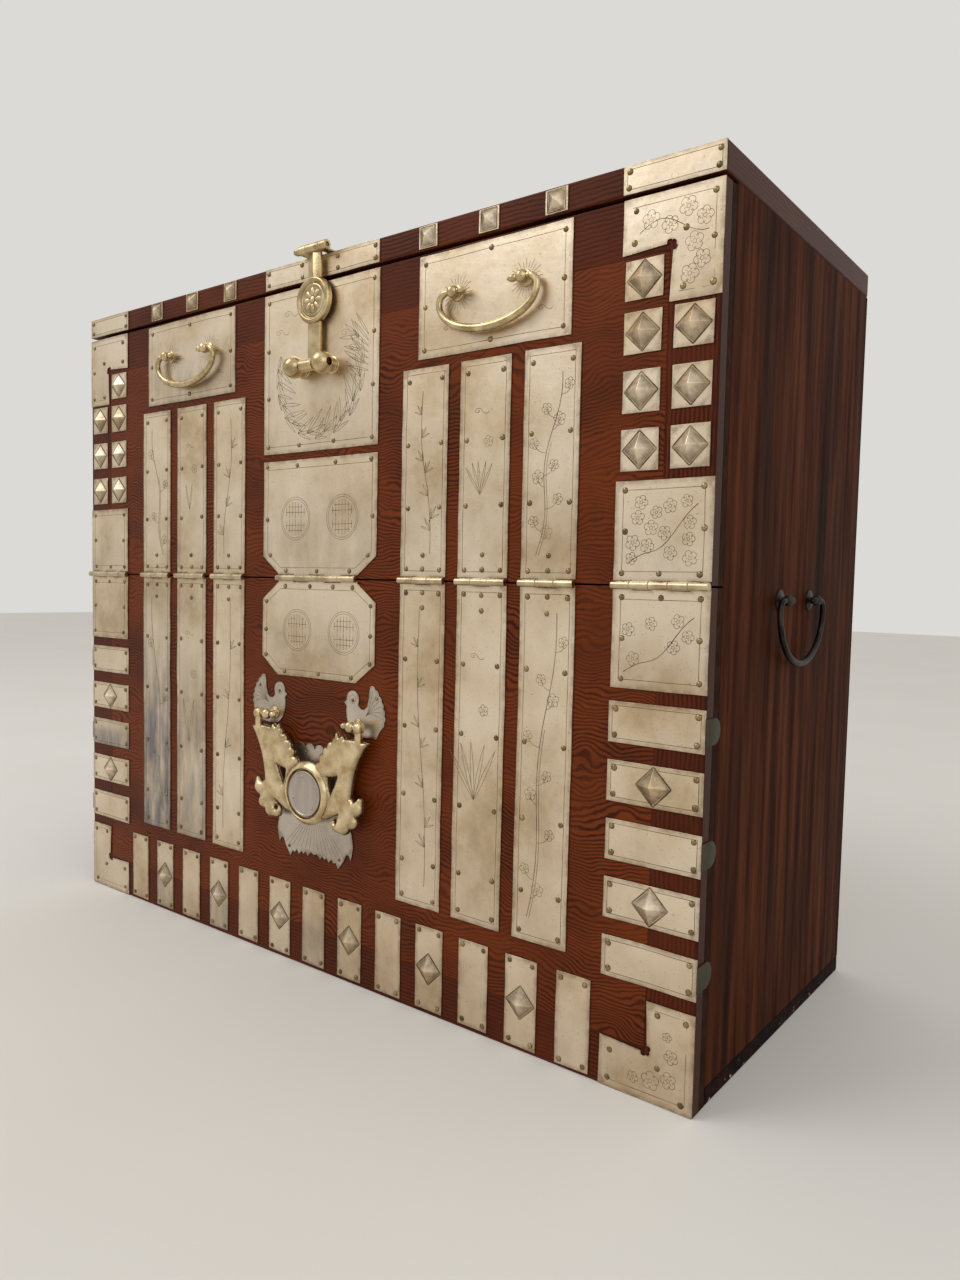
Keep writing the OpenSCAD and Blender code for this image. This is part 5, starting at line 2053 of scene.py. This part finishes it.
@dataclass
class DropHandle:
    """The winged drop handle, the birds over its posts and the leaf behind its ring."""

    finishes: Finishes
    ring_z: float = 198.0
    thickness: float = 6.0
    neck_x: float = 79.0
    post_x: float = 66.0
    lobes: tuple[Lobe, ...] = (
        (76.5, -4, 8.5), (70.5, -19.5, 7.5), (57, -26, 9.5), (49, -26, 8.5))

    def wing(self) -> list[list[Point]]:
        """Draw the right wing about the ring's middle.

        Returns:
            Its outline, and then its pierced drop and its eye.
        """
        feathers = scallops([(14, 29), (20.5, 38), (25, 47.5), (32, 55), (39.5, 61),
                             (43.5, 66.5)], 0.25)
        outline = [*arc((0, 0), 32.5, -50, 64, 10), *feathers[1:], (46, 72.5), (50, 67),
                   (55.5, 70.5), (58.5, 66.5), (73, 67.5), *bow((92, 65), (70, 40), (68, 5), 9),
                   *arc((73, 6.5), 3.6, 200, 340, 6), *arc((80.5, 4), 3.6, 150, -10, 7)]
        turns = ((25, -65), (45, -75), (-15, -100), (-110, -255))
        for (x, y, radius), (start, end) in zip(self.lobes, turns):
            outline += arc((x, y), radius, start, end, 8)
        outline += [(50, -15), (34, -22.5)]
        drop = bow((33, 22), (33.5, 12), (37.5, 4.5), 5)
        drop += bow((37.5, 4.5), (44, 14), (48, 25), 5)[1:]
        return [outline, drop + [(41, 23)], arc((47.4, -22), 2.8, 0, 330, 11)]

    def make(self) -> None:
        """Make every piece."""
        self.axis = pivot("drop_handle_hinge")
        self.back = Vector((0, self.axis.y + self.thickness / 2, self.ring_z))
        self.make_handle()
        self.make_disc()
        self.make_posts()
        self.make_birds()
        self.make_leaf()

    def make_handle(self) -> None:
        """Cast the wings, the bell-shaped ring between them and the cheeks over the posts."""
        mesh = bmesh.new()
        Cushion().cast(mesh, self.wing(), self.lobes, facing(self.back, TO_FRONT))
        bell = [(0, 0), (34.2, 0), (34.8, 0.6), (34.8, 1.6), (34.2, 2.6), (32.9, 4.0), (31.4, 5.9),
                (30.2, 6.9), (29.2, 7.4), (28.4, 7.5), (27.8, 7.3), (27.5, 6.8), (27.5, 2.9),
                (27.1, 2.5), (0, 2.5)]
        lathe(mesh, bell, self.back, TO_FRONT, 96)
        neck = [(-4, -18), (4, -18), (4, 0), (-4, 0)]
        pintle = [(0, 0), (2.4, 0), (2.4, 21.0), (3.0, 21.6), (3.3, 23.4), (2.9, 25), (2.0, 26.8),
                  (1.0, 28.2), (0, 28.8)]
        for s in (-1, 1):
            place = Vector((s * self.neck_x, self.axis.y, self.axis.z))
            tube(mesh, place, 9, 0.1, 6, 1.6)
            prism(mesh, neck, facing(place - TO_FRONT * 3, TO_FRONT), self.thickness, 1.4, 3)
        for s in (-1, 1):
            lathe(mesh, pintle, Vector((s * 80, self.axis.y, self.axis.z)), TO_LEFT * s, 24)
        piece(mesh, "drop_handle_cast", "drop_handle", CAST_SLOT, self.finishes["cast"],
              ("drop_handle",), 60)

    def make_disc(self) -> None:
        """Set a pale disc with a rolled rim and three rivets in the ring."""
        mesh = bmesh.new()
        face = self.back + TO_FRONT * 2.5
        lathe(mesh, [(0, 0), (24.6, 0), (24.6, 3.7), (24.4, 4.2), (23.9, 4.4), (23.3, 4.4),
                     (22.8, 4.1), (22.5, 3.75), (22.0, 3.65), (0, 3.8)], face, TO_FRONT, 72)
        for degrees in (100, 200, 310):
            x, z = spoke((0, 0), 18.8, degrees)
            lathe(mesh, [(0, 3.4), (1.7, 3.5), (1.6, 4.2), (1.0, 4.6), (0, 4.7)],
                  face + Vector((x, 0, z)), TO_FRONT, 12)
        for name, value in (("rim", 1.0), ("tone", 0.45)):
            layer = mesh.verts.layers.float.new(name)
            for vert in mesh.verts:
                vert[layer] = value
        piece(mesh, "drop_handle_disc_turned", "drop_handle", SHEET_SLOT, self.finishes["white"],
              ("drop_handle_disc",))

    def make_posts(self) -> None:
        """Turn the two posts that carry it."""
        post = BallPost(ball_r=6.0, bore_r=2.45, foot_r=7.0, neck_r=4.0,
                        reach=SHEET_FRONT - self.axis.y)
        piece(post.pair(self.post_x, self.axis.z), "drop_handle_posts_turned", CARCASS, CAST_SLOT,
              self.finishes["handled"], ("drop_handle_posts",))

    def make_birds(self) -> None:
        """Cut the two birds that look at each other over the handle."""
        head = arc((-17, 12), 9.2, 190, -30, 14)
        fan = scallops([(9.5, 27.8), (15.5, 24), (20.5, 18.5), (24.5, 12.5), (27, 6), (28.5, -1),
                        (28, -8), (25.5, -14)], 0.24)
        outline = [(-29.5, 8), *head, (-8.6, 5.5), (-4.5, 2.2), (0, 2.5), (4, 6), (6, 13),
                   (6.8, 21), (8.5, 27.6), *fan, (22, -18), (17, -26.5), (12, -25), (4, -26.5),
                   (-6, -26.5), (-15, -25), (-22, -18), (-26, -8), (-26.5, 0), (-25.8, 4)]
        for side in Side:
            sign = side.value
            fitting = Fitting(f"bird_plate_{side.word}", CARCASS, self.finishes, metal="white")
            mid = (sign * 75, 293)
            fitting.cut(placed(outline, mid, sign), 0.15)
            fitting.nail(placed(((-17, 11), (18, 15)), mid, sign), 0.8)
            for k in range(6):
                tip = fan[3 + 5 * k]
                feather = bow((2, -4), (8, 2), (tip[0] * 0.86, tip[1] * 0.86), 6)
                fitting.pen.stroke(placed(feather, mid, sign), 0.45)
            fitting.pen.ring((mid[0] - sign * 17, mid[1] + 12), 4.6, 14)
            fitting.finish()

    def make_leaf(self) -> None:
        """Cut the leaf-shaped plate behind the ring."""
        top = arc((7.5, 43.5), 8.6, 150, 30, 6) + arc((22.5, 43.5), 8.6, 150, 30, 6)
        right = [(0, 46), *top[1:], (33, 51), (34.5, 42), (42, 17), (45, -8), (52, -24),
                 (58, -38), (60.3, -50), (59, -58), (57, -66), (53.5, -60), (50, -61), (46, -69),
                 (38, -79), (34.5, -73), (31, -74), (27.5, -70.5), (24, -75), (20, -70.5),
                 (17, -73), (13.5, -70), (10, -74), (5, -69), (0, -71)]
        mid = (0, self.ring_z)
        fitting = Fitting("leaf_backplate", CARCASS, self.finishes, metal="white")
        fitting.cut(placed(right + flipped(right)[1:-1], mid), 0.2)
        for k in range(-7, 8):
            fitting.pen.stroke([(2.6 * k + 4.2 * k * t, self.ring_z - 36 - 30 * t)
                                for t in shares(4)], 0.4)
        fitting.nail(placed(((-40, -68), (-15, 42), (40, -68), (15, 42)), mid), 0.7)
        fitting.finish()


@dataclass
class Studio:
    """A pale floor, soft lights and the camera at the photograph's place."""

    eye: Lobe = (0.7485, -0.8710, 0.4304)
    forward: Lobe = (-0.6097, 0.7901, -0.0630)
    right: Lobe = (0.7907, 0.6118, 0.0213)
    lens: float = 25.98
    floor_half: float = 9.0

    def make(self) -> None:
        """Set it all up."""
        self.make_floor()
        self.make_world()
        self.light("key", (-1.7, -2.0, 3.1), (0, -0.1, 0.4), 2.0, 40)
        self.light("fill", (2.6, -1.6, 1.7), (0.2, 0, 0.4), 2.2, 15)
        self.make_camera()
        bpy.context.scene.view_settings.view_transform = "Standard"

    def make_floor(self) -> None:
        """Lay a pale floor: smooth matt paint, slightly uneven in its tone."""
        mesh = bmesh.new()
        bmesh.ops.create_grid(mesh, x_segments=1, y_segments=1, size=self.floor_half)
        floor = linked(mesh, "floor")
        paint = Coats("pale_floor", "dedcd8")
        paint.lay("d6d3ce", paint.pattern(500))
        floor.data.materials.append(paint.close({"Roughness": 0.85}, paint.pattern(3), 0.05))

    def make_world(self) -> None:
        """Light everything evenly and show a pale background."""
        world = bpy.data.worlds.new("studio")
        bpy.context.scene.world = world
        world.use_nodes = True
        tree = world.node_tree
        tree.nodes.clear()
        even, seen = [add(tree, "ShaderNodeBackground", None,
                          {"Color": linear(code), "Strength": strength})
                      for code, strength in (("f4f1ec", 0.85), ("dcdad6", 1.0))]
        rays = add(tree, "ShaderNodeLightPath").outputs
        shown: Any = rays["Is Camera Ray"]
        for kind in ("Is Glossy Ray", "Is Transmission Ray"):
            shown = add(tree, "ShaderNodeMath", {"operation": "MAXIMUM"}, {0: shown, 1: rays[kind]})
        mixed = add(tree, "ShaderNodeMixShader", None, {0: shown, 1: even, 2: seen})
        add(tree, "ShaderNodeOutputWorld", None, {"Surface": mixed})

    def light(self, name: str, place: Sequence[float], target: Sequence[float], size: float,
              watts: float) -> None:
        """Hang a square softbox.

        Args:
            name: Its name.
            place: Where it hangs, in metres.
            target: What it looks at.
            size: The length of its edge.
            watts: Its power.
        """
        data = bpy.data.lights.new(name, "AREA")
        data.size = size
        data.energy = watts
        lamp = bpy.data.objects.new(name, data)
        lamp.location = place
        way = Vector(target) - Vector(place)
        lamp.rotation_euler = way.to_track_quat("-Z", "Y").to_euler()
        bpy.context.scene.collection.objects.link(lamp)

    def make_camera(self) -> None:
        """Stand the camera where the photograph was taken."""
        data = bpy.data.cameras.new("camera")
        data.lens = self.lens
        data.sensor_width = 36.0
        data.clip_start = 0.01
        camera = bpy.data.objects.new("camera", data)
        right, back = Vector(self.right).normalized(), -Vector(self.forward).normalized()
        up = back.cross(right).normalized()
        turn = Matrix((right, up, back)).transposed()
        camera.matrix_world = Matrix.Translation(self.eye) @ turn.to_4x4()
        bpy.context.scene.collection.objects.link(camera)
        bpy.context.scene.camera = camera


def make_bails(finishes: Finishes) -> None:
    """Make the two brass bails of the door and the two thin iron ones of the sides.

    Args:
        finishes: The materials.
    """
    for side in Side:
        name = f"bail_{side.word}"
        mid = pivot(f"{name}_hinge")
        post = BallPost(ball_r=6.0, bore_r=2.45, foot_r=7.5, neck_r=4.0,
                        reach=SHEET_FRONT - mid.y)
        bail = Bail(name, CAST_SLOT, finishes["handled"], wide=119, drop=42, pitch=78, thick=4.2,
                    thin=3.0, bend=9.5, post=post)
        bail.make(mid, TO_RIGHT)
        bail.make_posts(f"bail_posts_{side.word}", DOOR, mid, TO_RIGHT, TO_FRONT)
        name = f"side_handle_{side.word}"
        mid = pivot(f"{name}_hinge")
        post = BallPost(ball_r=5.0, bore_r=2.45, foot_r=6.0, neck_r=3.2,
                        reach=abs(mid.x) - CHEST.right)
        bail = Bail(name, IRON_SLOT, finishes["iron"], wide=124, drop=62, pitch=80, thick=3.2,
                    thin=2.6, bend=9.0, post=post)
        bail.make(mid, TO_FRONT)
        bail.make_posts(f"side_handle_posts_{side.word}", CARCASS, mid, TO_FRONT,
                        TO_RIGHT * side.value)


def main() -> None:
    """Build the chest piece by piece."""
    logging.basicConfig(level=logging.INFO, format="%(message)s")
    finishes = Finishes()
    Boards(finishes).make()
    Hinges(finishes).make()
    LidPlates(finishes).make()
    DoorPlates(finishes).make()
    LowerPlates(finishes).make()
    Hasp(finishes).make()
    make_bails(finishes)
    DropHandle(finishes).make()
    Studio().make()


if __name__ == "__main__":
    main()
